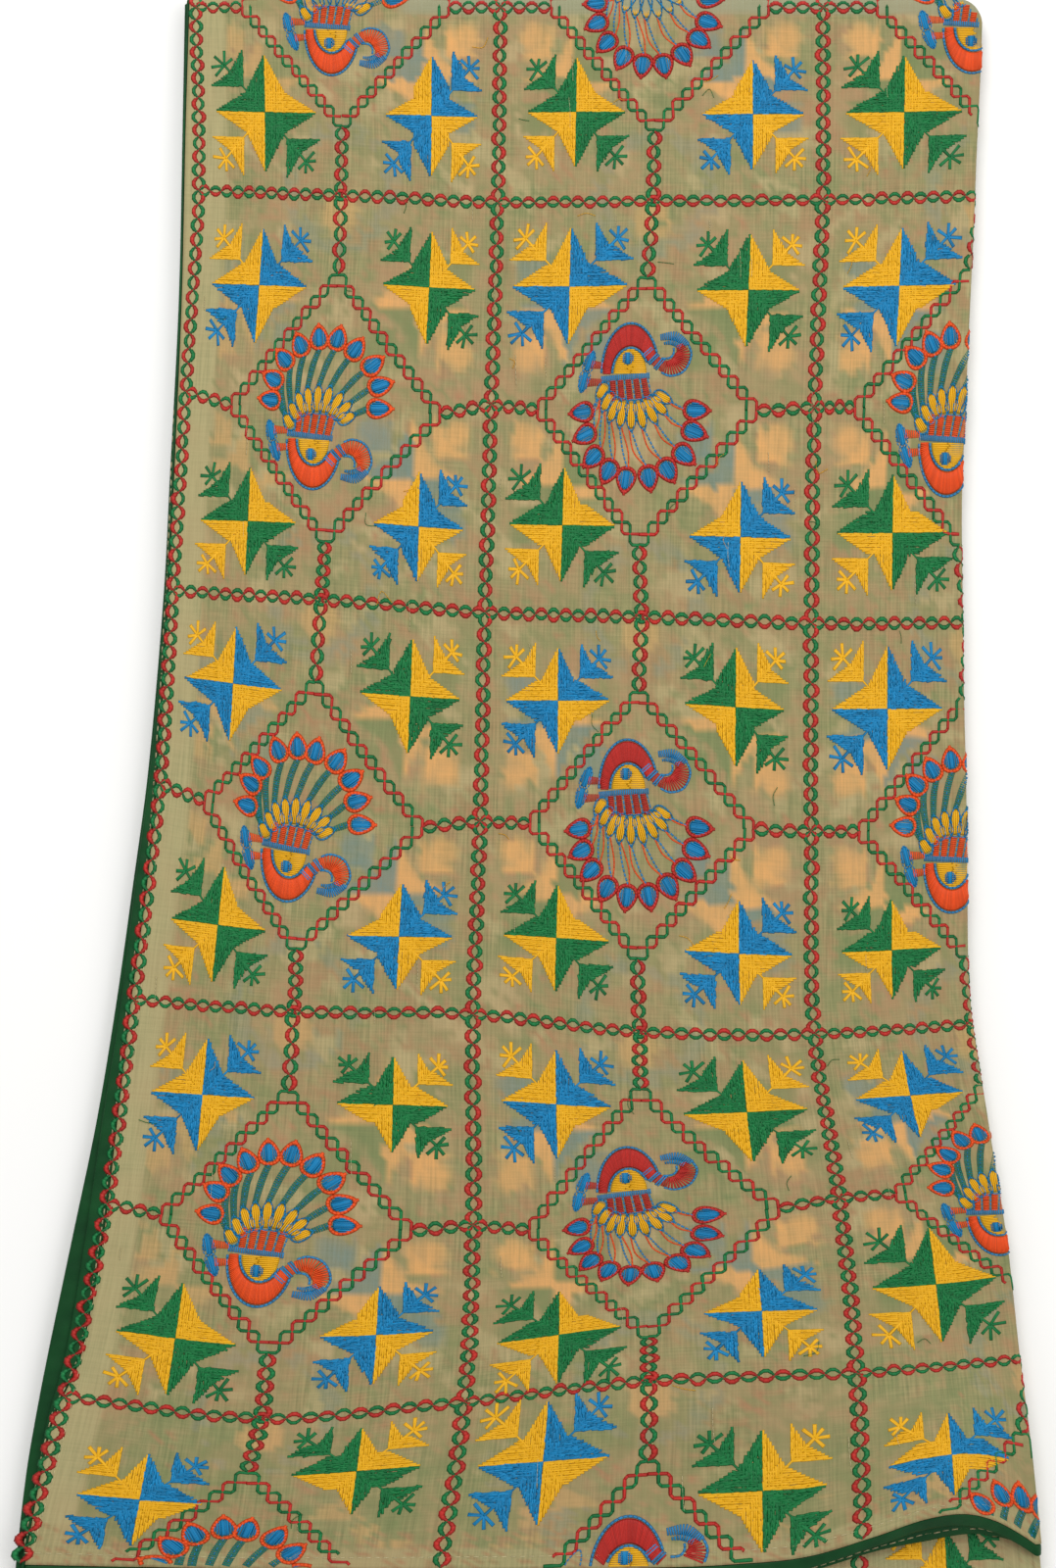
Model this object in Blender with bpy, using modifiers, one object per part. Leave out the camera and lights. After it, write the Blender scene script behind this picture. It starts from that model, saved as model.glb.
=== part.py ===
# Phulkari shawl, a long embroidered dupatta of sheer cloth with a green bound edge.
# It lies flat, doubled along its length and then folded in three across, so six plies lie
# on each other. X runs across, +Y points to the far fold, and Z = 0 is what it lies on.
import math

import bpy
from mathutils import Vector

COLLECTION = "phulkari_shawl"

# Heights of the plies, in metres
PLY_PITCH = 0.0020                  # one ply, its stitching and the air above it
PLIES = 6
PILE_TOP = PLIES * PLY_PITCH
CLOTH_WALL = 0.0011
BINDING_WALL = 0.0013
SEAM_GAP = 0.0003
TUCK = 0.0003                       # clearance between plies that lie on each other

# Binding and folds
BINDING_WIDTH = 0.0095
BINDING_PROUD = 0.0001              # the bound edge stands this far above the cloth
FAR_Y = 0.399                       # outside of the far fold
NEAR_Y = -0.399                     # outside of the near fold, under the hems
FAR_FOLD_LOW = 0.0042               # underside of the far fold, two plies down
SIDE_FOLD_LOW = 0.0082              # underside of the top pair's lengthwise fold
CORNER_RADIUS = 0.010
FAR_TAIL = 0.006                    # cloth that runs back under the far fold
SIDE_TAIL = 0.003
ROLL_STEPS = 6

# Plan sections from the far fold to the near one, in metres.
# y, left outline, edge of the front cloth, outer edge of its binding, outside of the right fold
SECTIONS = (
    (0.400, -0.1730, -0.1702, -0.1717, 0.2295),
    (0.335, -0.1736, -0.1716, -0.1731, 0.2262),
    (0.245, -0.1747, -0.1728, -0.1743, 0.2212),
    (0.156, -0.1783, -0.1757, -0.1774, 0.2162),
    (0.097, -0.1808, -0.1778, -0.1798, 0.2156),
    (0.010, -0.1875, -0.1822, -0.1862, 0.2160),
    (-0.048, -0.1946, -0.1872, -0.1932, 0.2163),
    (-0.106, -0.2022, -0.1945, -0.1995, 0.2170),
    (-0.163, -0.2111, -0.2005, -0.2080, 0.2252),
    (-0.220, -0.2224, -0.2068, -0.2158, 0.2333),
    (-0.276, -0.2336, -0.2168, -0.2248, 0.2388),
    (-0.305, -0.2389, -0.2292, -0.2325, 0.2418),
    (-0.333, -0.2433, -0.2356, -0.2378, 0.2447),
    (-0.374, -0.2475, -0.2425, -0.2442, 0.2487),
    (-0.400, -0.2490, -0.2455, -0.2472, 0.2498),
)

# Near hem of the top pair, from the left edge to the fold, where an arch pulls it back.
# x, end of the front cloth, plan width of its binding, bound edge of the second ply
HEM = (
    (-0.2500, -0.3755, 0.0095, -0.3875),
    (-0.1370, -0.3775, 0.0095, -0.3890),
    (-0.0370, -0.3780, 0.0095, -0.3890),
    (0.0560, -0.3770, 0.0090, -0.3880),
    (0.0950, -0.3758, 0.0080, -0.3860),
    (0.1330, -0.3715, 0.0060, -0.3800),
    (0.1680, -0.3600, 0.0055, -0.3690),
    (0.1910, -0.3515, 0.0060, -0.3640),
    (0.2110, -0.3485, 0.0065, -0.3605),
    (0.2260, -0.3525, 0.0060, -0.3620),
    (0.2400, -0.3610, 0.0055, -0.3670),
    (0.2500, -0.3690, 0.0055, -0.3740),
)

# Arch of the near right corner
ARCH_LEFT = 0.105
ARCH_PEAK = 0.206
ARCH_RIGHT = 0.262
ARCH_START = -0.262
ARCH_FULL = -0.338
ARCH_HEIGHT = 0.0150
ARCH_BINDING_DROP = 0.0045          # how far the bound edge turns down on the arch

# Section of the bound hem: share of its width, share of its drop
HEM_TURN = ((0.0, 0.0), (0.25, 0.0), (0.65, 0.35), (1.0, 1.0))

# Where the front hem lies before the arch pulls it, for a first reading of the hem table
HEM_LEFT_X = -0.2425
HEM_SPAN_X = 0.488

# Second ply's hem: its ends, and how far its three lines fall under the arch
SECOND_HEM_LEFT = -0.2365
SECOND_HEM_RIGHT = 0.2390
SECOND_HEM_FALL = (0.0042, 0.0074, 0.0088)

# Broad folds of the front cloth.
# start x, start y, end x, end y, height, half width
FOLDS = (
    (0.010, -0.318, 0.110, -0.285, 0.0030, 0.020),
    (0.060, -0.345, 0.135, -0.312, -0.0016, 0.015),
    (-0.205, -0.352, -0.110, -0.330, 0.0016, 0.018),
    (0.190, -0.100, 0.212, -0.235, -0.0014, 0.016),
    (-0.060, 0.330, -0.075, 0.120, 0.0012, 0.020),
    (0.120, 0.350, 0.105, 0.060, 0.0012, 0.022),
)

# Levels of the bound side edges: upper and lower face where each pair goes round a fold
FRONT_EDGE_TOP = PILE_TOP + BINDING_PROUD
SECOND_EDGE = (0.0100, 0.0062)
OUTER_EDGE = (0.0075, 0.0002)
INNER_EDGE = (0.0055, 0.0022)
OUTER_EDGE_INSET = 0.0012           # the lower edges lie this far inside the outline
INNER_EDGE_INSET = 0.0004
LOWER_BINDING_WIDTH = 0.0079
LOWER_END_Y = FAR_Y - 0.0140        # far end of the bottom third's side edges

# Far hem of the bottom third, under the far fold
FAR_HEM_Y = FAR_Y - 0.0030
FAR_HEM_LEFT = -0.1722
FAR_HEM_RIGHT = 0.2238
FAR_HEM_TOPS = (("far_hem_binding_upper", 0.0035), ("far_hem_binding_lower", 0.0015))
FAR_HEM_STEPS = 8

# Sides of the hidden layers, from the floor up.
# left inset, left z, far inset, far z, right inset, right z, near inset, near z
UNDER_SIDES = (
    (0.0108, 0.0000, 0.0140, 0.0000, 0.0022, 0.0000, 0.0036, 0.0000),
    (0.0102, 0.0005, 0.0134, 0.0005, 0.0009, 0.0008, 0.0016, 0.0006),
    (0.0102, 0.0018, 0.0134, 0.0018, 0.0004, 0.0020, 0.0004, 0.0020),
    (0.0102, 0.0030, 0.0134, 0.0030, 0.0008, 0.0031, 0.0000, 0.0040),
    (0.0102, 0.0039, 0.0134, 0.0056, 0.0020, 0.0039, 0.0004, 0.0058),
    (0.0102, 0.0048, 0.0092, 0.0060, 0.0009, 0.0047, 0.0013, 0.0070),
    (0.0102, 0.0060, 0.0068, 0.0080, 0.0004, 0.0059, 0.0028, 0.0077),
    (0.0102, 0.0072, 0.0086, 0.0100, 0.0009, 0.0071, 0.0050, 0.0079),
    (0.0104, 0.0079, 0.0100, 0.0105, 0.0024, 0.0079, 0.0080, 0.0079),
    (0.0112, 0.0100, 0.0118, 0.0106, 0.0088, 0.0079, 0.0104, 0.0079),
    (0.0130, 0.0106, 0.0140, 0.0106, 0.0126, 0.0106, 0.0126, 0.0079),
)
UNDER_TOP = PILE_TOP - CLOTH_WALL - TUCK
UNDER_LEDGE = 0.0079                # folded plies under the hems of the top pair
HEM_STEP_BACK = 0.0105              # the second ply ends this far inside the hem line
HEM_STEP_RUN = 0.0045
FAR_TURN = 0.018                    # run in which the right side turns into the far one
DIP_MARGIN = 1.5                    # the layers give way a little more than the cloth dips
DIP_REACH = (-0.018, 0.0, 0.018)    # and this far beside a dip

# Finishes: colour, roughness, metallic
CLOTH_FINISH = ((0.52, 0.42, 0.22), 0.75, 0.0)
UNDER_FINISH = ((0.44, 0.37, 0.20), 0.80, 0.0)
BINDING_FINISH = ((0.015, 0.075, 0.025), 0.45, 0.0)


def ease(value):
    value = min(1.0, max(0.0, value))
    return value * value * (3.0 - 2.0 * value)


def read_table(table, key):
    # Smooth curve through a table's columns, with a row's first value as its key
    rows = sorted(table)
    key = min(max(key, rows[0][0]), rows[-1][0])
    last = len(rows) - 2
    index = max(i for i in range(last + 1) if rows[i][0] <= key)
    low, high = rows[index], rows[index + 1]
    before, after = rows[max(index - 1, 0)], rows[min(index + 2, last + 1)]
    span = high[0] - low[0]
    part = (key - low[0]) / span
    values = []
    for column in range(1, len(low)):
        slope_low = (high[column] - before[column]) / (high[0] - before[0]) * span
        slope_high = (after[column] - low[column]) / (after[0] - low[0]) * span
        rise = high[column] - low[column]
        curve = (slope_low + slope_high - 2.0 * rise) * part ** 3
        curve += (3.0 * rise - 2.0 * slope_low - slope_high) * part ** 2
        values.append(low[column] + curve + slope_low * part)
    return values


def fold_relief(x, y):
    # Sum of the broad folds, each a soft ridge or trough that fades at its ends
    total = 0.0
    for x0, y0, x1, y1, height, half_width in FOLDS:
        run = Vector((x1 - x0, y1 - y0))
        offset = Vector((x - x0, y - y0))
        along = offset.dot(run) / run.length_squared
        aside = (offset - run * along).length
        fade = ease((along + 0.25) / 0.5) * ease((1.25 - along) / 0.5)
        total += height * fade * math.exp(-(aside / half_width) ** 2)
    return total


def arch_rise(x, y):
    if x <= ARCH_PEAK:
        across = ease((x - ARCH_LEFT) / (ARCH_PEAK - ARCH_LEFT))
    else:
        across = ease((ARCH_RIGHT - x) / (ARCH_RIGHT - ARCH_PEAK))
    along = ease((ARCH_START - y) / (ARCH_START - ARCH_FULL))
    return ARCH_HEIGHT * across * along


def front_height(x, y):
    left = read_table(SECTIONS, y)[1]
    calm = ease((x - left) / 0.020) * ease((FAR_Y - y) / 0.030)
    return PILE_TOP + calm * fold_relief(x, y) + arch_rise(x, y)


def side_roll_radius(y):
    fold_x = read_table(SECTIONS, y)[3]
    return 0.5 * (front_height(fold_x - 0.0025, y) - SIDE_FOLD_LOW)


def far_roll_radius():
    return 0.5 * (PILE_TOP - FAR_FOLD_LOW)


def round_corner(from_right, from_far, radius):
    # Draws a square corner in to a round one
    if from_right >= radius or from_far >= radius:
        return from_right, from_far
    right, far = radius - from_right, radius - from_far
    reach = math.hypot(right, far)
    if reach == 0.0:
        return from_right, from_far
    scale = max(right, far) / reach
    return radius - right * scale, radius - far * scale


def front_point(share_x, share_y):
    # A point of the front cloth's face: shares run from left to right and far to near
    far_crest = FAR_Y - far_roll_radius()
    hem_y = read_table(HEM, HEM_LEFT_X + share_x * HEM_SPAN_X)[0]
    y = far_crest + (hem_y - far_crest) * share_y
    left = read_table(SECTIONS, y)[1]
    right = read_table(SECTIONS, y)[3] - side_roll_radius(y)
    from_right = (right - left) * (1.0 - share_x)
    from_far = far_crest - y
    from_right, from_far = round_corner(from_right, from_far, CORNER_RADIUS)
    x, y = right - from_right, far_crest - from_far
    return Vector((x, y, front_height(x, y)))


def spread(count, crowd_start, crowd_end):
    # Shares from 0 to 1, closer together at the ends as asked
    weights = []
    for i in range(count - 1):
        middle = (i + 0.5) / (count - 1)
        crowd = crowd_start * math.exp(-(middle / 0.12) ** 2)
        crowd += crowd_end * math.exp(-((1.0 - middle) / 0.16) ** 2)
        weights.append(1.0 / (1.0 + crowd))
    total = sum(weights)
    shares = [0.0]
    for weight in weights:
        shares.append(shares[-1] + weight / total)
    shares[-1] = 1.0
    return shares


def outward_normals(line, first, last):
    # Plan normals of a line that runs clockwise seen from above
    normals = []
    for i in range(len(line)):
        step = line[min(i + 1, len(line) - 1)] - line[max(i - 1, 0)]
        normals.append(Vector((-step.y, step.x, 0.0)).normalized())
    normals[0], normals[-1] = Vector(first), Vector(last)
    return normals


def roll_ring(crest, normal, low, tail):
    # A fold's half round, from its crest down to its underside, and a short tail under it
    radius = 0.5 * (crest.z - low)
    ring = []
    for step in range(1, ROLL_STEPS + 1):
        angle = math.pi * step / ROLL_STEPS
        drop = Vector((0.0, 0.0, radius * (1.0 - math.cos(angle))))
        ring.append(crest + normal * radius * math.sin(angle) - drop)
    ring.append(ring[-1] - normal * tail)
    return ring


def add_mesh(name, points, faces, finish, wall=None, smooth=True):
    mesh = bpy.data.meshes.new(name)
    mesh.from_pydata([tuple(point) for point in points], [], faces)
    mesh.update()
    item = bpy.data.objects.new(name, mesh)
    shelf.objects.link(item)
    colour, roughness, metallic = finish
    material = bpy.data.materials.new(name + "_finish")
    material.use_nodes = True
    shader = material.node_tree.nodes["Principled BSDF"]
    shader.inputs["Base Color"].default_value = (*colour, 1.0)
    shader.inputs["Roughness"].default_value = roughness
    shader.inputs["Metallic"].default_value = metallic
    mesh.materials.append(material)
    if wall:
        shell = item.modifiers.new("wall", "SOLIDIFY")
        shell.thickness = wall
        shell.offset = -1.0
    if smooth:
        mesh.shade_smooth()
        mesh.set_sharp_from_angle(angle=math.radians(50.0))
    return item


def strip_faces(rows, columns, flip=False):
    # Quads of a grid whose points are stored row after row
    faces = []
    for row in range(rows - 1):
        for column in range(columns - 1):
            a = row * columns + column
            quad = (a, a + columns, a + columns + 1, a + 1)
            faces.append(quad[::-1] if flip else quad)
    return faces


def front_grid():
    across = spread(25, 3.0, 3.0)
    along = spread(31, 2.0, 2.2)
    grid = [[front_point(share_x, share_y) for share_x in across] for share_y in along]
    edge = list(grid[0]) + [row[-1] for row in grid[1:]]
    normals = outward_normals(edge, (0.0, 1.0, 0.0), (1.0, 0.0, 0.0))
    rings = []
    for i, (crest, normal) in enumerate(zip(edge, normals)):
        turned = ease((normal.x - 0.02) / 0.96)
        low = FAR_FOLD_LOW + (SIDE_FOLD_LOW - FAR_FOLD_LOW) * turned
        tail = FAR_TAIL + (SIDE_TAIL - FAR_TAIL) * turned
        rings.append(roll_ring(crest, normal, low, tail))
    return grid, rings


def build_front_panel():
    grid, rings = front_grid()
    columns = len(grid[0])
    points = [point for row in grid for point in row]
    faces = strip_faces(len(grid), columns)
    edge = list(range(columns)) + [row * columns + columns - 1 for row in range(1, len(grid))]
    depth = len(rings[0])
    first = len(points)
    for ring in rings:
        points.extend(ring)
    for i in range(len(edge) - 1):
        for step in range(depth):
            here = edge[i] if step == 0 else first + i * depth + step - 1
            ahead = edge[i + 1] if step == 0 else first + (i + 1) * depth + step - 1
            here_low = first + i * depth + step
            ahead_low = first + (i + 1) * depth + step
            faces.append((here, ahead, ahead_low, here_low))
    return add_mesh("front_panel", points, faces, CLOTH_FINISH, CLOTH_WALL)


def build_front_hem_binding():
    # Carries the wall on past the hem, and round the lengthwise fold with it
    grid, rings = front_grid()
    line = list(grid[-1]) + rings[-1][:ROLL_STEPS]
    rows = [[] for share, fall in HEM_TURN]
    for i, point in enumerate(line):
        width = read_table(HEM, point.x)[1]
        drop = 0.0
        start = point + Vector((0.0, -SEAM_GAP, 0.0))
        if i < len(grid[-1]):
            lifted = arch_rise(point.x, point.y) / ARCH_HEIGHT
            drop = 0.0006 + ARCH_BINDING_DROP * lifted
            start.z += BINDING_PROUD
        if i == 0:
            start.x += SEAM_GAP
        for row, (share, fall) in zip(rows, HEM_TURN):
            row.append(start + Vector((0.0, -width * share, -drop * fall)))
    points = [point for row in rows for point in row]
    faces = strip_faces(len(rows), len(line))
    return add_mesh("front_hem_binding", points, faces, BINDING_FINISH, BINDING_WALL)


def build_second_hem_binding():
    # The second ply's hem follows the first, a step lower, and ends inside the fold
    stations = spread(24, 1.0, 4.0)
    rows = [[], [], []]
    for share in stations:
        x = SECOND_HEM_LEFT + share * (SECOND_HEM_RIGHT - SECOND_HEM_LEFT)
        front_end, width, edge_y = read_table(HEM, x)
        top = front_height(x, front_end) - CLOTH_WALL - BINDING_WALL
        lifted = arch_rise(x, front_end) / ARCH_HEIGHT
        middle_y = front_end - width
        inner_y = max(edge_y + BINDING_WIDTH * (1.0 - 0.25 * lifted), middle_y + 0.0012)
        for row, y, fall in zip(rows, (inner_y, middle_y, edge_y), SECOND_HEM_FALL):
            row.append(Vector((x, y, top - fall * lifted)))
    points = [point for row in rows for point in row]
    faces = strip_faces(3, len(stations))
    return add_mesh("second_hem_binding", points, faces, BINDING_FINISH, BINDING_WALL)


def side_strip(name, route, inner_x, outer_x, flip=False):
    # A flat strip along a route in Y and Z, as wide as the two edge rules give
    rows = []
    for y, z in route:
        rows.append([Vector((outer_x(y), y, z)), Vector((inner_x(y), y, z))])
    points = [point for row in rows for point in row]
    faces = strip_faces(len(rows), 2, flip)
    return add_mesh(name, points, faces, BINDING_FINISH, BINDING_WALL)


def half_round(crest_y, z_from, z_to, direction):
    # Route round a cross fold, from the upper level to the lower one
    radius = 0.5 * (z_from - z_to)
    steps = range(1, ROLL_STEPS)
    turns = [math.pi * step / ROLL_STEPS for step in steps]
    return [(crest_y + direction * radius * math.sin(turn),
             z_from - radius * (1.0 - math.cos(turn))) for turn in turns]


def level_run(places, z):
    return [(y, z) for y in places]


def outline_x(y):
    return read_table(SECTIONS, y)[0]


def build_side_bindings():
    edge_places = [row[0].y for row in front_grid()[0]]
    hem_end = read_table(HEM, HEM_LEFT_X)[0] - BINDING_WIDTH
    far_crest = edge_places[0]
    tail_end = far_crest - FAR_TAIL

    # Front ply: along the edge and over the outside of the far fold
    route = half_round(far_crest, FRONT_EDGE_TOP, FAR_FOLD_LOW, 1.0)[::-1]
    route = level_run([tail_end, far_crest], FAR_FOLD_LOW) + route
    route += level_run(edge_places + [hem_end], FRONT_EDGE_TOP)
    side_strip("front_side_binding", route,
               lambda y: read_table(SECTIONS, y)[1] - SEAM_GAP,
               lambda y: read_table(SECTIONS, y)[2])

    # Second ply: under the first, and round the inside of the far fold
    top, low = SECOND_EDGE
    route = half_round(far_crest, top, low, 1.0)[::-1]
    route = level_run([tail_end, far_crest], low) + route
    route += level_run(edge_places[::2] + [hem_end], top)
    side_strip("second_side_binding", route,
               lambda y: outline_x(y) + BINDING_WIDTH, outline_x)

    # Middle and bottom thirds: out along one level, round the near fold and back
    start = tail_end - 2.0 * SEAM_GAP
    for name, (top, low), inset in (
            ("outer_fold_side_binding", OUTER_EDGE, OUTER_EDGE_INSET),
            ("inner_fold_side_binding", INNER_EDGE, INNER_EDGE_INSET)):
        near_crest = NEAR_Y + 0.5 * (OUTER_EDGE[0] - OUTER_EDGE[1])
        places = [y for y in edge_places[::2] if near_crest + 0.01 < y < start - 0.01]
        route = level_run([LOWER_END_Y] + places + [near_crest], low)
        route += half_round(near_crest, top, low, -1.0)[::-1]
        route += level_run([near_crest] + places[::-1] + [start], top)
        side_strip(name, route,
                   lambda y, inset=inset: outline_x(y) + inset + LOWER_BINDING_WIDTH,
                   lambda y, inset=inset: outline_x(y) + inset,
                   flip=True)


def build_far_hem_bindings():
    # The bottom third ends under the far fold, its two plies bound like the near hems
    for name, top in FAR_HEM_TOPS:
        rows = []
        for y in (FAR_HEM_Y - BINDING_WIDTH, FAR_HEM_Y):
            shares = [i / FAR_HEM_STEPS for i in range(FAR_HEM_STEPS + 1)]
            span = FAR_HEM_RIGHT - FAR_HEM_LEFT
            rows.append([Vector((FAR_HEM_LEFT + share * span, y, top)) for share in shares])
        points = [point for row in rows for point in row]
        faces = strip_faces(2, FAR_HEM_STEPS + 1, flip=True)
        add_mesh(name, points, faces, BINDING_FINISH, BINDING_WALL, smooth=False)


def under_plan(share_x, share_y, inset):
    # Outline of the hidden layers, drawn in from the photo's outline, with round corners
    left_in, far_in, right_in, near_in = inset
    y = (FAR_Y - far_in) + share_y * ((NEAR_Y + near_in) - (FAR_Y - far_in))
    sections = read_table(SECTIONS, y)
    left, right = sections[0] + left_in, sections[3] - right_in
    from_right, from_left = (right - left) * (1.0 - share_x), (right - left) * share_x
    from_far, from_near = (FAR_Y - far_in) - y, y - (NEAR_Y + near_in)
    if share_x > 0.5:
        if share_y < 0.5:
            from_right, from_far = round_corner(from_right, from_far, CORNER_RADIUS)
            return right - from_right, (FAR_Y - far_in) - from_far
        from_right, from_near = round_corner(from_right, from_near, CORNER_RADIUS)
        return right - from_right, (NEAR_Y + near_in) + from_near
    return left + from_left, y


def under_height(x, y):
    # The second ply's face, pressed down by the front cloth, and the ledge past its hem
    hem_y = read_table(HEM, x)[0] + HEM_STEP_BACK
    places = [(x + dx, y + dy) for dx in DIP_REACH for dy in DIP_REACH]
    dip = max(PILE_TOP - front_height(*place) for place in places)
    second = UNDER_TOP - DIP_MARGIN * max(0.0, dip)
    down = ease((hem_y - y) / HEM_STEP_RUN)
    return second + (UNDER_LEDGE - second) * down


def under_top_point(share_x, share_y, last_share):
    # The last three rows of the top lie at the step under the hem and at the near edge
    left_in, far_in, right_in, near_in = [UNDER_SIDES[-1][k] for k in (0, 2, 4, 6)]
    x, y = under_plan(share_x, share_y, (left_in, far_in, right_in, near_in))
    step_high = read_table(HEM, x)[0] + HEM_STEP_BACK
    far_line, near_line = FAR_Y - far_in, NEAR_Y + near_in
    if share_y <= last_share:
        squeeze = (far_line - step_high) / (far_line - near_line) / last_share
        y = max(far_line + (y - far_line) * squeeze, step_high)
    elif share_y < 1.0:
        y = step_high - HEM_STEP_RUN
    return Vector((x, y, under_height(x, y)))


def build_under_layers():
    across = spread(15, 2.0, 3.0)
    along = spread(21, 2.0, 3.0)
    columns = len(across)
    points = [under_top_point(share_x, share_y, along[-3]) for share_y in along for share_x in across]
    faces = strip_faces(len(along), columns)

    # The rim of the top grid, clockwise from the far left corner
    rows = len(along)
    rim = [(0, i) for i in range(columns)]
    rim += [(j, columns - 1) for j in range(1, rows)]
    rim += [(rows - 1, i) for i in range(columns - 2, -1, -1)]
    rim += [(j, 0) for j in range(rows - 2, 0, -1)]
    top_ring = [j * columns + i for j, i in rim]
    rings = [top_ring]
    for left_in, left_z, far_in, far_z, right_in, right_z, near_in, near_z in UNDER_SIDES[-2::-1]:
        ring = []
        for j, i in rim:
            corner_z = []
            side_in = right_in
            if j == 0:
                corner_z.append(far_z)
                side_in = far_in
            elif i == columns - 1:
                # Under the corner of the fold the right side first draws in to the far one,
                # and then takes its heights
                turn = 1.0 - (FAR_Y - FAR_TURN - points[j * columns + i].y) / FAR_TURN
                corner_z.append(right_z + (far_z - right_z) * ease(2.0 * turn - 1.0))
                side_in = right_in + (far_in - right_in) * ease(2.0 * turn)
            if j == rows - 1:
                corner_z.append(near_z)
            if i == 0 and j > 0:
                corner_z.append(left_z)
            x, y = under_plan(across[i], along[j], (left_in, far_in, side_in, near_in))
            if 0 < j < rows - 1:
                # Side stations keep the rows of the top grid
                side = 0 if i == 0 else 3
                y_from, y = y, points[j * columns + i].y
                x += read_table(SECTIONS, y)[side] - read_table(SECTIONS, y_from)[side]
            z = min(sum(corner_z) / len(corner_z), points[j * columns + i].z)
            ring.append(len(points))
            points.append(Vector((x, y, z)))
        rings.append(ring)
    for upper, lower in zip(rings, rings[1:]):
        for k in range(len(rim)):
            ahead = (k + 1) % len(rim)
            faces.append((upper[k], upper[ahead], lower[ahead], lower[k]))
    faces.append(tuple(rings[-1]))
    return add_mesh("under_layers", points, faces, UNDER_FINISH)


for old in list(bpy.data.objects):
    bpy.data.objects.remove(old)
shelf = bpy.data.collections.new(COLLECTION)
bpy.context.scene.collection.children.link(shelf)

build_front_panel()
build_front_hem_binding()
build_second_hem_binding()
build_side_bindings()
build_far_hem_bindings()
build_under_layers()
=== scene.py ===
import math

import bmesh
import bpy
import numpy as np
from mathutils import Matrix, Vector
from mathutils.bvhtree import BVHTree


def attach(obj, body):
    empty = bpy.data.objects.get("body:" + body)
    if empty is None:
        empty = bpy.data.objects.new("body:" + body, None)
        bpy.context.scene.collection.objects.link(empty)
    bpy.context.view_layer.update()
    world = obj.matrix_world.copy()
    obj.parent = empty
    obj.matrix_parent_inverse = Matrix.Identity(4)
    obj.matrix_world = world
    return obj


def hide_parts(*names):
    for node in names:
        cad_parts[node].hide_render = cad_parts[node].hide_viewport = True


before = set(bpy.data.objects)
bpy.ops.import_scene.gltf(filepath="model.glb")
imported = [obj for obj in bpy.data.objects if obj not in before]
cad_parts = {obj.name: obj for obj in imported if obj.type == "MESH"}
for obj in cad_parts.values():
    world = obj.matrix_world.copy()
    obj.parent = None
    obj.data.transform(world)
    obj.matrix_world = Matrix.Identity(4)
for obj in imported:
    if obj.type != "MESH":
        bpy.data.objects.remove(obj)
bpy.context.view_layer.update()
print("frame loaded")

# drape of the folded pile
pile = {
    "top": 0.0120,              # face of the front ply
    "cadWall": 0.0011,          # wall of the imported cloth
    "bindingWall": 0.0013,
    "farY": 0.399,              # outside of the far fold
    "nearY": -0.399,            # outside of the near fold
    "farFoldLow": 0.0042,
    "sideFoldLow": 0.0082,
    "cornerRadius": 0.010,
    "bindingWidth": 0.0095,
    "farTail": 0.006,
    "sideTail": 0.003,
}

# y, left outline, edge of the front cloth, outer edge of its binding, outside of the right fold
sections = (
    (0.400, -0.1730, -0.1702, -0.1717, 0.2295),
    (0.335, -0.1736, -0.1716, -0.1731, 0.2262),
    (0.245, -0.1747, -0.1728, -0.1743, 0.2212),
    (0.156, -0.1783, -0.1757, -0.1774, 0.2162),
    (0.097, -0.1808, -0.1778, -0.1798, 0.2156),
    (0.010, -0.1875, -0.1822, -0.1862, 0.2160),
    (-0.048, -0.1946, -0.1872, -0.1932, 0.2163),
    (-0.106, -0.2022, -0.1945, -0.1995, 0.2170),
    (-0.163, -0.2111, -0.2005, -0.2080, 0.2252),
    (-0.220, -0.2224, -0.2068, -0.2158, 0.2333),
    (-0.276, -0.2336, -0.2168, -0.2248, 0.2388),
    (-0.305, -0.2389, -0.2292, -0.2325, 0.2418),
    (-0.333, -0.2433, -0.2356, -0.2378, 0.2447),
    (-0.374, -0.2475, -0.2425, -0.2442, 0.2487),
    (-0.400, -0.2490, -0.2455, -0.2472, 0.2498),
)

# x, end of the front cloth, plan width of its binding, bound edge of the second ply
hemLine = (
    (-0.2500, -0.3755, 0.0095, -0.3875),
    (-0.1370, -0.3775, 0.0095, -0.3890),
    (-0.0370, -0.3780, 0.0095, -0.3890),
    (0.0560, -0.3770, 0.0090, -0.3880),
    (0.0950, -0.3758, 0.0080, -0.3860),
    (0.1330, -0.3715, 0.0060, -0.3800),
    (0.1680, -0.3600, 0.0055, -0.3690),
    (0.1910, -0.3515, 0.0060, -0.3640),
    (0.2110, -0.3485, 0.0065, -0.3605),
    (0.2260, -0.3525, 0.0060, -0.3620),
    (0.2400, -0.3610, 0.0055, -0.3670),
    (0.2500, -0.3690, 0.0055, -0.3740),
)
hemReach = {"leftX": -0.2425, "spanX": 0.488}

# The arch that lifts the near right corner
arch = {"left": 0.105, "peak": 0.206, "right": 0.262, "start": -0.262, "full": -0.338, "height": 0.0150,
        "bindingDrop": 0.0045}

# start x, start y, end x, end y, height, half width: broad folds, then the fine creases
folds = (
    (0.010, -0.318, 0.110, -0.285, 0.0030, 0.020),
    (0.060, -0.345, 0.135, -0.312, -0.0016, 0.015),
    (-0.205, -0.352, -0.110, -0.330, 0.0016, 0.018),
    (0.190, -0.100, 0.212, -0.235, -0.0014, 0.016),
    (-0.060, 0.330, -0.075, 0.120, 0.0012, 0.020),
    (0.120, 0.350, 0.105, 0.060, 0.0012, 0.022),
)


def ease(value):
    value = np.clip(value, 0.0, 1.0)
    return value * value * (3.0 - 2.0 * value)


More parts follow.
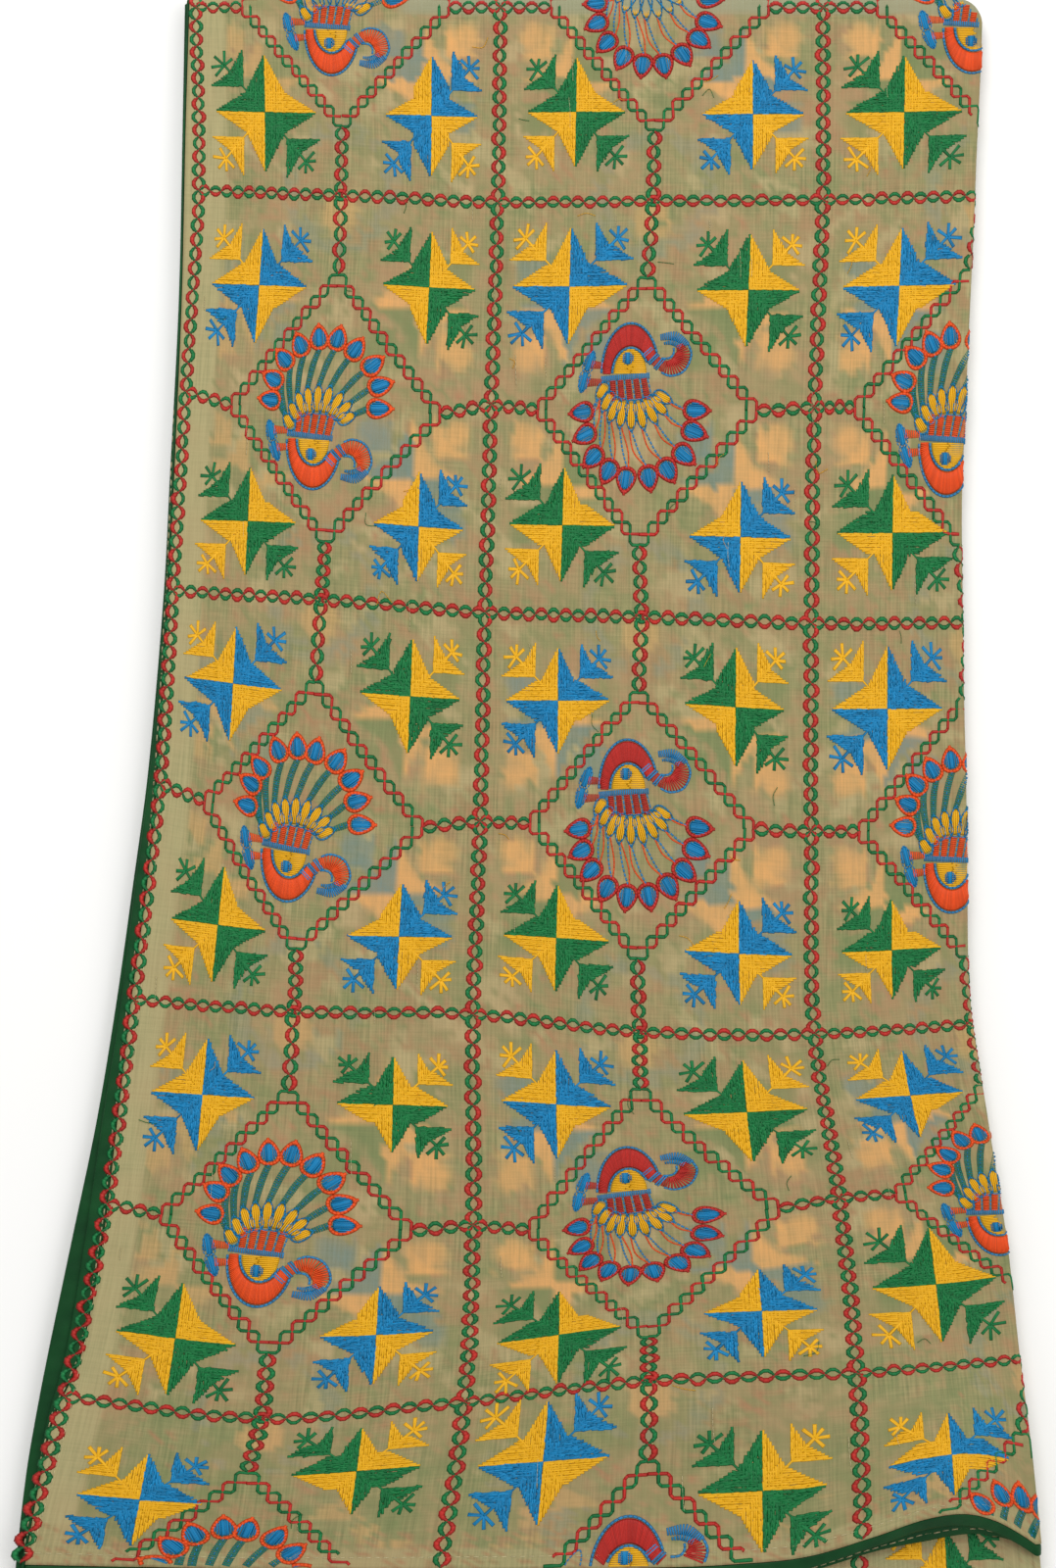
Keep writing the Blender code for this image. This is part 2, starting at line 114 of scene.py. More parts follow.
def toPoints(*parts):
    # Coordinates, as arrays or plain numbers, set side by side
    return np.stack(np.broadcast_arrays(*parts), axis=-1)


def unit(vectors):
    return vectors / np.maximum(np.linalg.norm(vectors, axis=-1, keepdims=True), 1e-12)


def heading(angle):
    return toPoints(np.cos(angle), np.sin(angle))


def leftOf(way):
    return toPoints(-way[..., 1], way[..., 0])


def runOf(points):
    # How far along a line of points each one lies
    return np.concatenate([[0.0], np.cumsum(np.linalg.norm(np.diff(points, axis=0), axis=1))])


def hermite(low, high, slopeLow, slopeHigh, part):
    # Smooth way from low to high that leaves and arrives at the given slopes
    curve = (slopeLow + slopeHigh - 2.0 * (high - low)) * part ** 3
    curve += (3.0 * (high - low) - 2.0 * slopeLow - slopeHigh) * part ** 2
    return low + slopeLow * part + curve


def readTable(table, key, column):
    # Smooth curve through one column of a table, keyed by its first column
    rows = np.array(sorted(table))
    keys, values = rows[:, 0], rows[:, column]
    key = np.clip(key, keys[0], keys[-1])
    steps = np.diff(values) / np.diff(keys)
    slopes = np.concatenate([steps[:1], (values[2:] - values[:-2]) / (keys[2:] - keys[:-2]), steps[-1:]])
    index = np.clip(np.searchsorted(keys, key, side="right") - 1, 0, len(keys) - 2)
    span = keys[index + 1] - keys[index]
    part = (key - keys[index]) / span
    return hermite(values[index], values[index + 1], slopes[index] * span, slopes[index + 1] * span, part)


def foldRelief(x, y):
    total = np.zeros(np.broadcast(x, y).shape)
    for x0, y0, x1, y1, height, halfWidth in folds:
        runX, runY = x1 - x0, y1 - y0
        length2 = runX * runX + runY * runY
        along = ((x - x0) * runX + (y - y0) * runY) / length2
        aside2 = (x - x0 - runX * along) ** 2 + (y - y0 - runY * along) ** 2
        fade = ease((along + 0.25) / 0.5) * ease((1.25 - along) / 0.5)
        total += height * fade * np.exp(-aside2 / halfWidth ** 2)
    return total


def archRise(x, y):
    rising = ease((x - arch["left"]) / (arch["peak"] - arch["left"]))
    falling = ease((arch["right"] - x) / (arch["right"] - arch["peak"]))
    across = np.where(x <= arch["peak"], rising, falling)
    return arch["height"] * across * ease((arch["start"] - y) / (arch["start"] - arch["full"]))


ripple = {"fine": 0.00010, "broad": 0.00028}


def clothRipple(x, y):
    # Slack of thin cloth: fine ripples down the warp, and broad soft waves
    fine = np.sin(x * 520.0 + 2.1 * np.sin(y * 23.0) + 1.3 * np.sin(x * 71.0))
    fine = fine * (0.6 + 0.4 * np.sin(y * 31.0 + x * 47.0))
    broad = np.sin(x * 58.0 + y * 21.0 + 1.2) * np.sin(y * 44.0 - x * 17.0)
    broad = broad + 0.6 * np.sin(x * 97.0 - y * 39.0)
    return ripple["fine"] * fine + ripple["broad"] * broad


def frontHeight(x, y):
    left = readTable(sections, y, 2)
    calm = ease((x - left) / 0.020) * ease((pile["farY"] - y) / 0.030)
    return pile["top"] + calm * (foldRelief(x, y) + clothRipple(x, y)) + archRise(x, y)


def outlineLeft(y):
    return readTable(sections, y, 1)


def foldOutside(y):
    return readTable(sections, y, 4)


def sideRollRadius(y):
    x = foldOutside(y) - 0.0025
    return 0.5 * (pile["top"] + foldRelief(x, y) + archRise(x, y) - pile["sideFoldLow"])


farRollRadius = 0.5 * (pile["top"] - pile["farFoldLow"])
farCrest = pile["farY"] - farRollRadius


def roundCorner(fromRight, fromFar, radius):
    # Draws a square corner in to a round one
    right, far = np.maximum(radius - fromRight, 0.0), np.maximum(radius - fromFar, 0.0)
    reach = np.maximum(np.hypot(right, far), 1e-9)
    inside = (fromRight < radius) & (fromFar < radius)
    scale = np.where(inside, np.maximum(right, far) / reach, 1.0)
    return (np.where(inside, radius - right * scale, fromRight),
            np.where(inside, radius - far * scale, fromFar))


def frontPlan(shareX, shareY):
    # Plan of the front ply: shares run from left to right and far to near
    hemY = readTable(hemLine, hemReach["leftX"] + shareX * hemReach["spanX"], 1)
    y = farCrest + (hemY - farCrest) * shareY
    left = readTable(sections, y, 2)
    right = foldOutside(y) - sideRollRadius(y)
    fromRight, fromFar = roundCorner((right - left) * (1.0 - shareX), farCrest - y, pile["cornerRadius"])
    return right - fromRight, farCrest - fromFar


# mesh helpers
shawl = bpy.data.collections.new("shawl")
bpy.context.scene.collection.children.link(shawl)


def addMesh(name, points, faces, material):
    mesh = bpy.data.meshes.new(name)
    mesh.from_pydata(np.asarray(points).tolist(), [], faces if isinstance(faces, list) else faces.tolist())
    mesh.update()
    mesh.shade_smooth()
    mesh.materials.append(material)
    piece = bpy.data.objects.new(name, mesh)
    shawl.objects.link(piece)
    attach(piece, "root")
    return piece


def quadFaces(numbers):
    # Quads between the rows and columns of a table of point numbers
    return toPoints(numbers[:-1, :-1], numbers[1:, :-1], numbers[1:, 1:], numbers[:-1, 1:]).reshape(-1, 4)


def ringed(numbers):
    # The table with its first column repeated at the end, so that its rows close
    return np.concatenate([numbers, numbers[:, :1]], axis=1)


def spread(count, crowdStart, crowdEnd):
    # Shares from 0 to 1, closer together at the ends as asked
    middle = (np.arange(count - 1) + 0.5) / (count - 1)
    crowd = crowdStart * np.exp(-(middle / 0.12) ** 2) + crowdEnd * np.exp(-((1.0 - middle) / 0.16) ** 2)
    shares = np.concatenate([[0.0], np.cumsum(1.0 / (1.0 + crowd))])
    return shares / shares[-1]


# materials
def newMaterial(name, roughness, specular=0.5):
    material = bpy.data.materials.new(name)
    material.use_nodes = True
    shader = material.node_tree.nodes["Principled BSDF"]
    shader.inputs["Roughness"].default_value = roughness
    shader.inputs["Specular IOR Level"].default_value = specular
    return material, material.node_tree, shader


def addNode(tree, kind, **values):
    node = tree.nodes.new("ShaderNode" + kind)
    for key, value in values.items():
        if hasattr(node, key):
            setattr(node, key, value)
        else:
            node.inputs[key].default_value = value
    return node


def wire(tree, *links):
    # Each link: a node and its output, another node and its input
    for source, output, target, socket in links:
        tree.links.new(source.outputs[output], target.inputs[socket])


def srgb(red, green, blue):
    # A colour as seen in the photograph, from 0 to 255, as Blender's linear values
    parts = [part / 255.0 for part in (red, green, blue)]
    linear = [part / 12.92 if part <= 0.04045 else ((part + 0.055) / 1.055) ** 2.4 for part in parts]
    return tuple(linear) + (1.0,)


clothLook = {
    "colour": srgb(162, 150, 105),
    "shade": srgb(126, 124, 84),
    "warm": srgb(168, 138, 100),
    "roughness": 0.80,
    "threads": 620.0,           # 2 threads to a millimetre
    "ghost": 0.86,              # how strongly the next ply's embroidery shows through
}


def makeWeaveGroup():
    # Plain weave over a surface measured in metres: Height for a bump, Slub for uneven threads
    group = bpy.data.node_groups.new("weave", "ShaderNodeTree")
    group.interface.new_socket("Vector", in_out="INPUT", socket_type="NodeSocketVector")
    for name in ("Height", "Slub"):
        group.interface.new_socket(name, in_out="OUTPUT", socket_type="NodeSocketFloat")
    entry, leave = group.nodes.new("NodeGroupInput"), group.nodes.new("NodeGroupOutput")
    warp, weft = [addNode(group, "TexWave", wave_type="BANDS", bands_direction=way,
                          Scale=clothLook["threads"]) for way in "XY"]
    both = addNode(group, "Math", operation="ADD")
    down = addNode(group, "Mapping", Scale=(900.0, 34.0, 1.0))
    across = addNode(group, "Mapping", Scale=(46.0, 1100.0, 1.0))
    long = addNode(group, "TexNoise", Scale=1.0, Detail=3.0)
    short = addNode(group, "TexNoise", Scale=1.0, Detail=2.0)
    slub = addNode(group, "Mix", data_type="FLOAT", Factor=0.32)
    wire(group, *[(entry, "Vector", node, "Vector") for node in (warp, weft, down, across)],
         (warp, "Fac", both, 0), (weft, "Fac", both, 1), (down, "Vector", long, "Vector"),
         (across, "Vector", short, "Vector"), (long, "Fac", slub, "A"), (short, "Fac", slub, "B"),
         (both, "Value", leave, "Height"), (slub, "Result", leave, "Slub"))
    return group


weave = makeWeaveGroup()


def clothMaterial(name, colour, shade, ghost):
    # Sheer cloth: uneven threads, cloudy patches, and what the next ply shows through it
    material, tree, shader = newMaterial(name, clothLook["roughness"], 0.25)
    coords = addNode(tree, "UVMap", uv_map="cloth")
    threadWork = addNode(tree, "Group", node_tree=weave)
    uneven = addNode(tree, "MapRange", **{"From Min": 0.36, "From Max": 0.64})
    tint = addNode(tree, "Mix", data_type="RGBA", A=colour, B=shade)
    cloud = addNode(tree, "TexNoise", Scale=28.0, Detail=3.0)
    patches = addNode(tree, "MapRange", **{"From Min": 0.42, "From Max": 0.68, "To Max": 0.6})
    warm = addNode(tree, "Mix", data_type="RGBA", B=clothLook["warm"])
    through = addNode(tree, "Attribute", attribute_name="ghost")
    broken = addNode(tree, "MapRange", **{"To Min": ghost * 1.12, "To Max": ghost * 0.76})
    strength = addNode(tree, "Math", operation="MULTIPLY")
    shown = addNode(tree, "Mix", data_type="RGBA")
    bump = addNode(tree, "Bump", Strength=0.35, Distance=0.00008)
    wire(tree, (coords, "UV", threadWork, "Vector"), (coords, "UV", cloud, "Vector"),
         (threadWork, "Slub", uneven, "Value"), (threadWork, "Height", bump, "Height"),
         (uneven, "Result", tint, "Factor"), (uneven, "Result", broken, "Value"),
         (cloud, "Fac", patches, "Value"), (patches, "Result", warm, "Factor"), (tint, "Result", warm, "A"),
         (through, "Alpha", strength, 0), (broken, "Result", strength, 1),
         (strength, "Value", shown, "Factor"), (warm, "Result", shown, "A"), (through, "Color", shown, "B"),
         (shown, "Result", shader, "Base Color"), (bump, "Normal", shader, "Normal"))
    return material


def satinMaterial(name, colour, shade):
    # Green satin: cloudy shade and a fine grain
    material, tree, shader = newMaterial(name, 0.50, 0.12)
    coords = addNode(tree, "TexCoord")
    cloud = addNode(tree, "TexNoise", Scale=55.0, Detail=4.0)
    grain = addNode(tree, "TexNoise", Scale=900.0, Detail=2.0)
    tint = addNode(tree, "Mix", data_type="RGBA", A=shade, B=colour)
    bump = addNode(tree, "Bump", Strength=0.4, Distance=0.0002)
    wire(tree, (coords, "Object", cloud, "Vector"), (coords, "Object", grain, "Vector"),
         (cloud, "Fac", tint, "Factor"), (tint, "Result", shader, "Base Color"),
         (grain, "Fac", bump, "Height"), (bump, "Normal", shader, "Normal"))
    return material


sheerCloth = clothMaterial("sheerCloth", clothLook["colour"], clothLook["shade"], clothLook["ghost"])
innerCloth = clothMaterial("innerCloth", srgb(164, 158, 114), srgb(132, 130, 90), 0.5)
greenSatin = satinMaterial("greenSatin", srgb(24, 82, 40), srgb(8, 42, 22))


# where the pattern lies
# Cloth coordinates are u across and v along, in pattern cells. u = 0 is the bound edge and
# u = 2.5 the lengthwise fold; v = 0 is the far fold and v = 3.9 the near hem.
cell = {"width": 0.180, "length": 0.205, "hemV": 3.9, "farY": 0.3936, "leftX": -0.19}
cellMm = np.array([180.0, 205.0])
gridU = np.array([0.0, 0.5, 1.0, 1.5, 2.0, 2.5])
gridV = np.array([0.0, 0.5, 1.0, 1.5, 2.0, 2.5, 3.0, 3.5, 3.9])
gridX = np.array((
    (-0.1672, -0.0942, -0.0138, 0.0645, 0.1485, 0.2334),
    (-0.1649, -0.0937, -0.0152, 0.0627, 0.1475, 0.2287),
    (-0.1704, -0.0996, -0.0183, 0.0590, 0.1425, 0.2221),
    (-0.1758, -0.1024, -0.0213, 0.0562, 0.1403, 0.2184),
    (-0.1812, -0.1081, -0.0236, 0.0560, 0.1392, 0.2177),
    (-0.1932, -0.1147, -0.0269, 0.0547, 0.1402, 0.2175),
    (-0.2055, -0.1208, -0.0267, 0.0568, 0.1518, 0.2334),
    (-0.2246, -0.1290, -0.0308, 0.0585, 0.1592, 0.2442),
    (-0.2455, -0.1367, -0.0425, 0.0570, 0.1606, 0.2500),
))
gridY = np.array((
    (0.3936, 0.3936, 0.3936, 0.3936, 0.3936, 0.3936),
    (0.2997, 0.2972, 0.2937, 0.2942, 0.2947, 0.2972),
    (0.1977, 0.1953, 0.1913, 0.1913, 0.1898, 0.1903),
    (0.0979, 0.0935, 0.0871, 0.0847, 0.0817, 0.0817),
    (0.0020, -0.0115, -0.0164, -0.0149, -0.0212, -0.0198),
    (-0.1039, -0.1097, -0.1111, -0.1197, -0.1206, -0.1159),
    (-0.2029, -0.2086, -0.2133, -0.2077, -0.2001, -0.1944),
    (-0.2957, -0.3060, -0.2981, -0.2878, -0.2840, -0.2770),
    (-0.3755, -0.3774, -0.3774, -0.3765, -0.3588, -0.3653),
))


def curveThrough(knots, values, key):
    # Smooth curve through rows of values, run on straight past both ends
    slopes = np.gradient(values, knots, axis=0)
    held = np.clip(key, knots[0], knots[-1])
    index = np.clip(np.searchsorted(knots, held, side="right") - 1, 0, len(knots) - 2)
    span = knots[index + 1] - knots[index]
    column = np.arange(len(key)) if values.shape[1] > 1 else 0
    low, high = (index, column), (index + 1, column)
    part = (held - knots[index]) / span
    curve = hermite(values[low], values[high], slopes[low] * span, slopes[high] * span, part)
    ending = np.where(key < held, slopes[0][column], slopes[-1][column])
    return curve + ending * (key - held)


def patternPlan(u, v):
    # Plan place of cloth point u, v, as if both folds were still rolled out flat
    rowsX, rowsY = (np.stack([curveThrough(gridU, row[:, None], u) for row in grid])
                    for grid in (gridX, gridY))
    rowsY[-1] = readTable(hemLine, rowsX[-1], 1)
    return curveThrough(gridV, rowsX, v), curveThrough(gridV, rowsY, v)


def patternPlace(x, y):
    # The reverse of patternPlan, closed in on from a straight guess
    u, v = (x - cell["leftX"]) / cell["width"], (cell["farY"] - y) / cell["length"]
    for step in range(9):
        missX, missY = patternPlan(u, v)
        u, v = u + (x - missX) / cell["width"], v - (y - missY) / cell["length"]
    return u, v


def frontFace(x, y):
    # Face of the front ply at a rolled-out plan place, carried round the two folds
    crestX = foldOutside(y) - sideRollRadius(y)
    overX, overY = np.maximum(x - crestX, 0.0), np.maximum(y - farCrest, 0.0)
    flatX, flatY = np.minimum(x, crestX), np.minimum(y, farCrest)
    z = frontHeight(flatX, flatY)
    sideRadius = np.maximum(0.5 * (z - pile["sideFoldLow"]), 1e-4)
    turnX, turnY = np.minimum(overX / sideRadius, math.pi), np.minimum(overY / farRollRadius, math.pi)
    backX = np.maximum(overX - math.pi * sideRadius, 0.0)
    backY = np.maximum(overY - math.pi * farRollRadius, 0.0)
    drop = sideRadius * (1.0 - np.cos(turnX)) + farRollRadius * (1.0 - np.cos(turnY))
    return toPoints(flatX + sideRadius * np.sin(turnX) - backX, flatY + farRollRadius * np.sin(turnY) - backY,
                    z - drop)


# what shows through the sheer cloth
ghostLook = {
    "shift": 0.48,              # the next ply lies this share of a cell further along
    "yellow": srgb(222, 163, 98),
    "blue": srgb(86, 126, 130),
    "green": srgb(88, 120, 72),
    "pink": srgb(172, 104, 80),
    "pale": srgb(174, 165, 120),
    "glow": srgb(198, 178, 132),
    "farStrip": srgb(146, 150, 124),
}


def softEdge(depth, blur):
    return ease(0.5 + depth / blur)


def cloudy(u, v, size, seed):
    # Soft irregular patches from 0 to 1, each about size millimetres across
    x, y = u * cellMm[0] / size + seed, v * cellMm[1] / size - seed
    total = np.sin(x * 2.3 + 1.7 * np.sin(y * 1.9 + seed)) * np.sin(y * 2.7 + 1.9 * np.sin(x * 1.3 - seed))
    total = total + 0.5 * np.sin(x * 5.1 + 2.0 * np.sin(y * 3.7)) * np.sin(y * 4.9 + 1.3 * np.sin(x * 4.3))
    return np.clip(0.5 + 0.42 * total, 0.0, 1.0)


def eitherGhost(mask, name, other):
    return np.where(mask[:, None], ghostLook[name], ghostLook[other])


def overlay(under, colour, strength):
    # Two marks on one place: the stronger shows
    shown, reach = under
    return np.where((strength > reach)[:, None], colour, shown), np.maximum(reach, strength)


def ghostStars(u, v, share, down):
    # The mirrored stars: colour and strength
    x = (np.abs(share - 0.5) - 0.265) * cellMm[0]
    y = (np.abs(down - 0.5) - 0.290) * cellMm[1]
    far, near = np.maximum(np.abs(x), np.abs(y)), np.minimum(np.abs(x), np.abs(y))
    star = softEdge(29.0 - (far + 1.9 * near), 9.0)
    budX, budY = np.abs(x) - 11.5, np.abs(y) - 11.5
    budFar, budNear = np.maximum(budX, budY), np.minimum(budX, budY)
    bud = softEdge(20.0 - (budFar + 1.45 * budNear), 9.0) * softEdge(budNear, 3.0)
    floret = softEdge(7.5 - np.hypot(np.abs(x) - 23.0, np.abs(y) - 23.0), 8.0) * 0.9
    outside = 1.0 - ((x < 0.0) & (y < 0.0))
    mark = np.maximum(star, np.maximum(bud, floret) * outside)
    yellow = x * y > 0.0
    sides = eitherGhost((share - 0.5) * (down - 0.5) > 0.0, "blue", "green")
    colour = np.where(yellow[:, None], ghostLook["yellow"], sides)
    strength = mark * np.where(yellow, 1.0, 0.72) * (0.66 + 0.34 * cloudy(u, v, 12.0, 5.0))
    return colour, strength * (0.45 + 0.55 * ease((u - 0.25) / 0.35))


def ghostSmudges(u, v, share, down, nearHem):
    # The chains, stepped diamonds and birds only smudge, part pink and part green
    fromDown, fromShare = np.abs(down - 0.5), np.abs(share - 0.5)
    chain = softEdge(5.0 - np.abs(down - np.round(down)) * cellMm[1], 6.0)
    upright = softEdge(6.0 - np.abs(share - np.round(share)) * cellMm[0], 8.0)
    across = softEdge(5.0 - fromDown * cellMm[1], 6.0) * (fromShare > 0.33)
    steps = softEdge(6.0 - np.abs(fromShare / 0.34 + fromDown / 0.32 - 1.0) * 42.0, 6.0)
    beads = cloudy(u, v, 7.0, 1.0)
    smudge = np.maximum(np.maximum(chain, across), np.maximum(0.8 * upright, 0.9 * steps))
    smudge = smudge * np.abs(beads - 0.5) * 2.0
    colour = eitherGhost(beads > 0.5, "pink", "green")
    ringX, ringY = (share - 0.5) * cellMm[0], (down - 0.5) * cellMm[1]
    ring = softEdge(5.5 - np.abs(np.hypot(ringX, ringY) - 30.0), 5.0) * (0.3 + 0.7 * beads)
    body = softEdge(11.0 - np.hypot(ringX, ringY - 14.0), 8.0)
    bird = np.maximum(0.65 * ring, 0.8 * body)
    colour = np.where((bird > smudge)[:, None], eitherGhost(body > 0.3, "yellow", "blue"), colour)
    marks = colour, np.maximum(smudge * 0.60, bird * 0.5)
    stain = 0.5 * cloudy(u, v, 24.0, 9.0) + 0.5 * cloudy(u, v, 8.0, 4.0) + 0.20 * nearHem
    depth = np.where(stain > 0.5, 0.50, 0.46) * (np.abs(stain - 0.5) * 2.0) ** 0.8
    marks = overlay(marks, eitherGhost(stain > 0.5, "green", "pink"), depth)
    glow = 0.34 * ease((cloudy(u, v, 27.0, 2.5) - 0.56) / 0.40) * (1.0 - 0.7 * nearHem)
    return overlay(marks, ghostLook["glow"], glow)


def ghostMarks(u, v):
    # Colour and strength of the mirrored stars, chains and birds of the ply underneath
    blur = 0.010 * (cloudy(u, v, 9.0, 3.0) - 0.5)
    share, down = 1.0 - np.mod(u + blur, 1.0), np.mod(v - ghostLook["shift"] + 0.5 + blur, 1.0)
    # Towards the hem less of the stars shows, and the cloth looks greener
    nearHem = ease((v - 3.42) / 0.20)
    colour, strength = ghostStars(u, v, share, down)
    smudgeColour, smudge = ghostSmudges(u, v, share, down, nearHem)
    # Along the bound edges the cloth is turned in and pale, and little shows through
    turned = np.maximum(1.0 - ease((u - 0.085) / 0.03), ease((v - 3.845) / 0.012))
    plain = 1.0 - 0.8 * turned
    marks = colour, strength * (1.0 - 0.65 * nearHem) * plain
    marks = overlay(marks, smudgeColour, smudge * plain)
    colour, strength = overlay(marks, ghostLook["pale"], np.where(v > 3.80, 0.42, 0.70) * turned)
    # The stitched hem shows in pink specks, and the far fold catches the light in a thin strip
    specks = ease((v - 3.80) / 0.02) * ease((cloudy(u, v, 3.4, 6.0) - 0.60) / 0.2) * 0.45
    strip = ease((0.022 - v) / 0.010) * ease((u - 0.66) / 0.06)
    for mark, level, name in ((specks, specks, "pink"), (strip, np.maximum(0.8 * strip, 0.1), "farStrip")):
        colour = np.where((mark > 0.1)[:, None], ghostLook[name], colour)
        strength = np.where(mark > 0.1, level, strength)
    return np.concatenate([colour[:, :3], strength[:, None]], axis=1)


def printCloth(piece, plan):
    # Cloth coordinates as a UV map in metres, and what shows through as a colour
    u, v = patternPlace(plan[:, 0], plan[:, 1])
    mesh = piece.data
    corners = np.empty(len(mesh.loops), dtype=int)
    mesh.loops.foreach_get("vertex_index", corners)
    layer = mesh.uv_layers.new(name="cloth")
    layer.data.foreach_set("uv", toPoints(u * cell["width"], v * cell["length"])[corners].ravel())
    ghost = mesh.attributes.new("ghost", "FLOAT_COLOR", "POINT")
    ghost.data.foreach_set("color", ghostMarks(u, v).ravel())


# front ply
def rollRings(crests, normals, low, tail, steps):
    # A fold's half round from each crest down to its underside, and a short tail under it
    radius = 0.5 * (crests[:, 2] - low)
    rings = []
    for step in range(1, steps + 1):
        angle = math.pi * step / steps
        ring = crests + normals * (radius * math.sin(angle))[:, None]
        ring[:, 2] = crests[:, 2] - radius * (1.0 - math.cos(angle))
        rings.append(ring)
    rings.append(rings[-1] - normals * tail[:, None])
    return np.stack(rings, axis=1)


frontCounts = {"across": 160, "along": 262, "rollSteps": 10, "wall": 0.0007}


def frontCrests(grid):
    # The crest line of both folds, clockwise seen from above, with outward normals
    line = np.concatenate([grid[0], grid[1:, -1]])
    step = np.gradient(line, axis=0)
    normals = unit(toPoints(-step[:, 1], step[:, 0], 0.0))
    normals[0], normals[-1] = (0.0, 1.0, 0.0), (1.0, 0.0, 0.0)
    turned = ease((normals[:, 0] - 0.02) / 0.96)
    low = pile["farFoldLow"] + (pile["sideFoldLow"] - pile["farFoldLow"]) * turned
    tail = pile["farTail"] + (pile["sideTail"] - pile["farTail"]) * turned
    return line, normals, low, tail


def makeFrontPly():
    across, along = (spread(frontCounts[key], 0.4, 0.8) for key in ("across", "along"))
    x, y = frontPlan(*np.meshgrid(across, along))
    grid = toPoints(x, y, frontHeight(x, y))
    crests, normals, low, tail = frontCrests(grid)
    rings = rollRings(crests, normals, low, tail, frontCounts["rollSteps"])
    points = np.concatenate([grid.reshape(-1, 3), rings.reshape(-1, 3)])
    numbers = np.arange(x.size).reshape(x.shape)
    edge = np.concatenate([numbers[0], numbers[1:, -1]])
    depth = rings.shape[1]
    ladder = np.column_stack([edge, x.size + np.arange(len(edge) * depth).reshape(-1, depth)])
    faces = np.concatenate([quadFaces(numbers), quadFaces(ladder)])
    piece = addMesh("frontPly", points, faces, sheerCloth)
    rollOut = np.linspace(0.0, 1.0, depth)[None, :, None] * math.pi * farRollRadius
    unrolled = crests[:, None, :2] + normals[:, None, :2] * rollOut
    printCloth(piece, np.concatenate([grid[:, :, :2].reshape(-1, 2), unrolled.reshape(-1, 2)]))
    wall = piece.modifiers.new("wall", "SOLIDIFY")
    wall.thickness, wall.offset = frontCounts["wall"], -1.0
    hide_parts("front_panel")
    return piece


frontPly = makeFrontPly()
print("front ply made")

# embroidery
# A stitch is a low ridge of thread. Its plan is kept in cloth millimetres until it is sewn.
stitchShape = {
    "along": np.array([0.0, 0.0, 0.13, 0.87, 1.0, 1.0]),
    "aside": np.array([-0.86, 0.86, 0.0, 0.0, -0.86, 0.86]),
    "rise": np.array([0.0, 0.0, 1.0, 1.0, 0.0, 0.0]),
    # light: painted shade across a stitch, its sunk sides and ends darker than its raised middle
    "light": np.array([0.62, 0.62, 1.0, 1.0, 0.62, 0.62]),
}
stitchFaces = np.array((
    (0, 1, 2), (0, 2, 3), (0, 3, 4), (2, 1, 5), (2, 5, 3), (1, 0, 4), (1, 4, 5), (4, 3, 5),
))
threadColours = {
    "yellow": srgb(252, 178, 20),
    "blue": srgb(10, 132, 188),
    "green": srgb(12, 120, 62),
    "red": srgb(190, 42, 34),
    "orange": srgb(246, 82, 22),
    "teal": srgb(8, 116, 104),
    "sky": srgb(42, 134, 190),
    "cream": srgb(206, 194, 150),
}
# probe is the step that finds a face's slope, in cells; bite is how deep a stitch sits, in millimetres
# sunk and raised: shares of a thread's colour for its painted shade and painted light
thread = {"sunkShade": 0.24, "raisedLight": 1.20, "strands": 0.20, "probe": 0.002, "bite": 0.08}
starSize = np.array([27.4, 28.0])
toneRange = {"yellow": (0.86, 1.0), "blue": (0.48, 1.0), "green": (0.50, 1.0)}
dice = np.random.default_rng(7)
sewn = {}


def stitch(colour, starts, ends, width=1.1, rise=0.55, toneAndShade=None):
    starts, ends = np.atleast_2d(starts), np.atleast_2d(ends)
    row = np.empty((len(starts), 7))
    row[:, 0:2], row[:, 2:4] = starts, ends
    row[:, 4], row[:, 5] = width, rise
    low, high = toneRange.get(colour, (0.68, 1.0))
    row[:, 6] = dice.uniform(low, high, len(starts)) if toneAndShade is None else toneAndShade
    sewn.setdefault(colour, []).append(row)


# Rows of satin stitch in the stars, over a bed that fills the gaps between them, in millimetres. The bed is
# painted darker, as shade in those gaps
wedge = {
    "pitch": 1.0, "width": 1.38, "long": 4.6, "raggedLong": 2.852, "rise": 0.55, "shortest": 0.8,
    "bedPitch": 1.7, "bedLong": 6.0, "bedWidth": 2.2, "bedRise": 0.34, "bedShade": 0.80,
}


def quadrantPoints(along, aside, origin, signs, swap):
    # Points given along and aside from a quadrant's axis, set in their own quadrant
    return origin + (toPoints(aside, along) if swap else toPoints(along, aside)) * signs


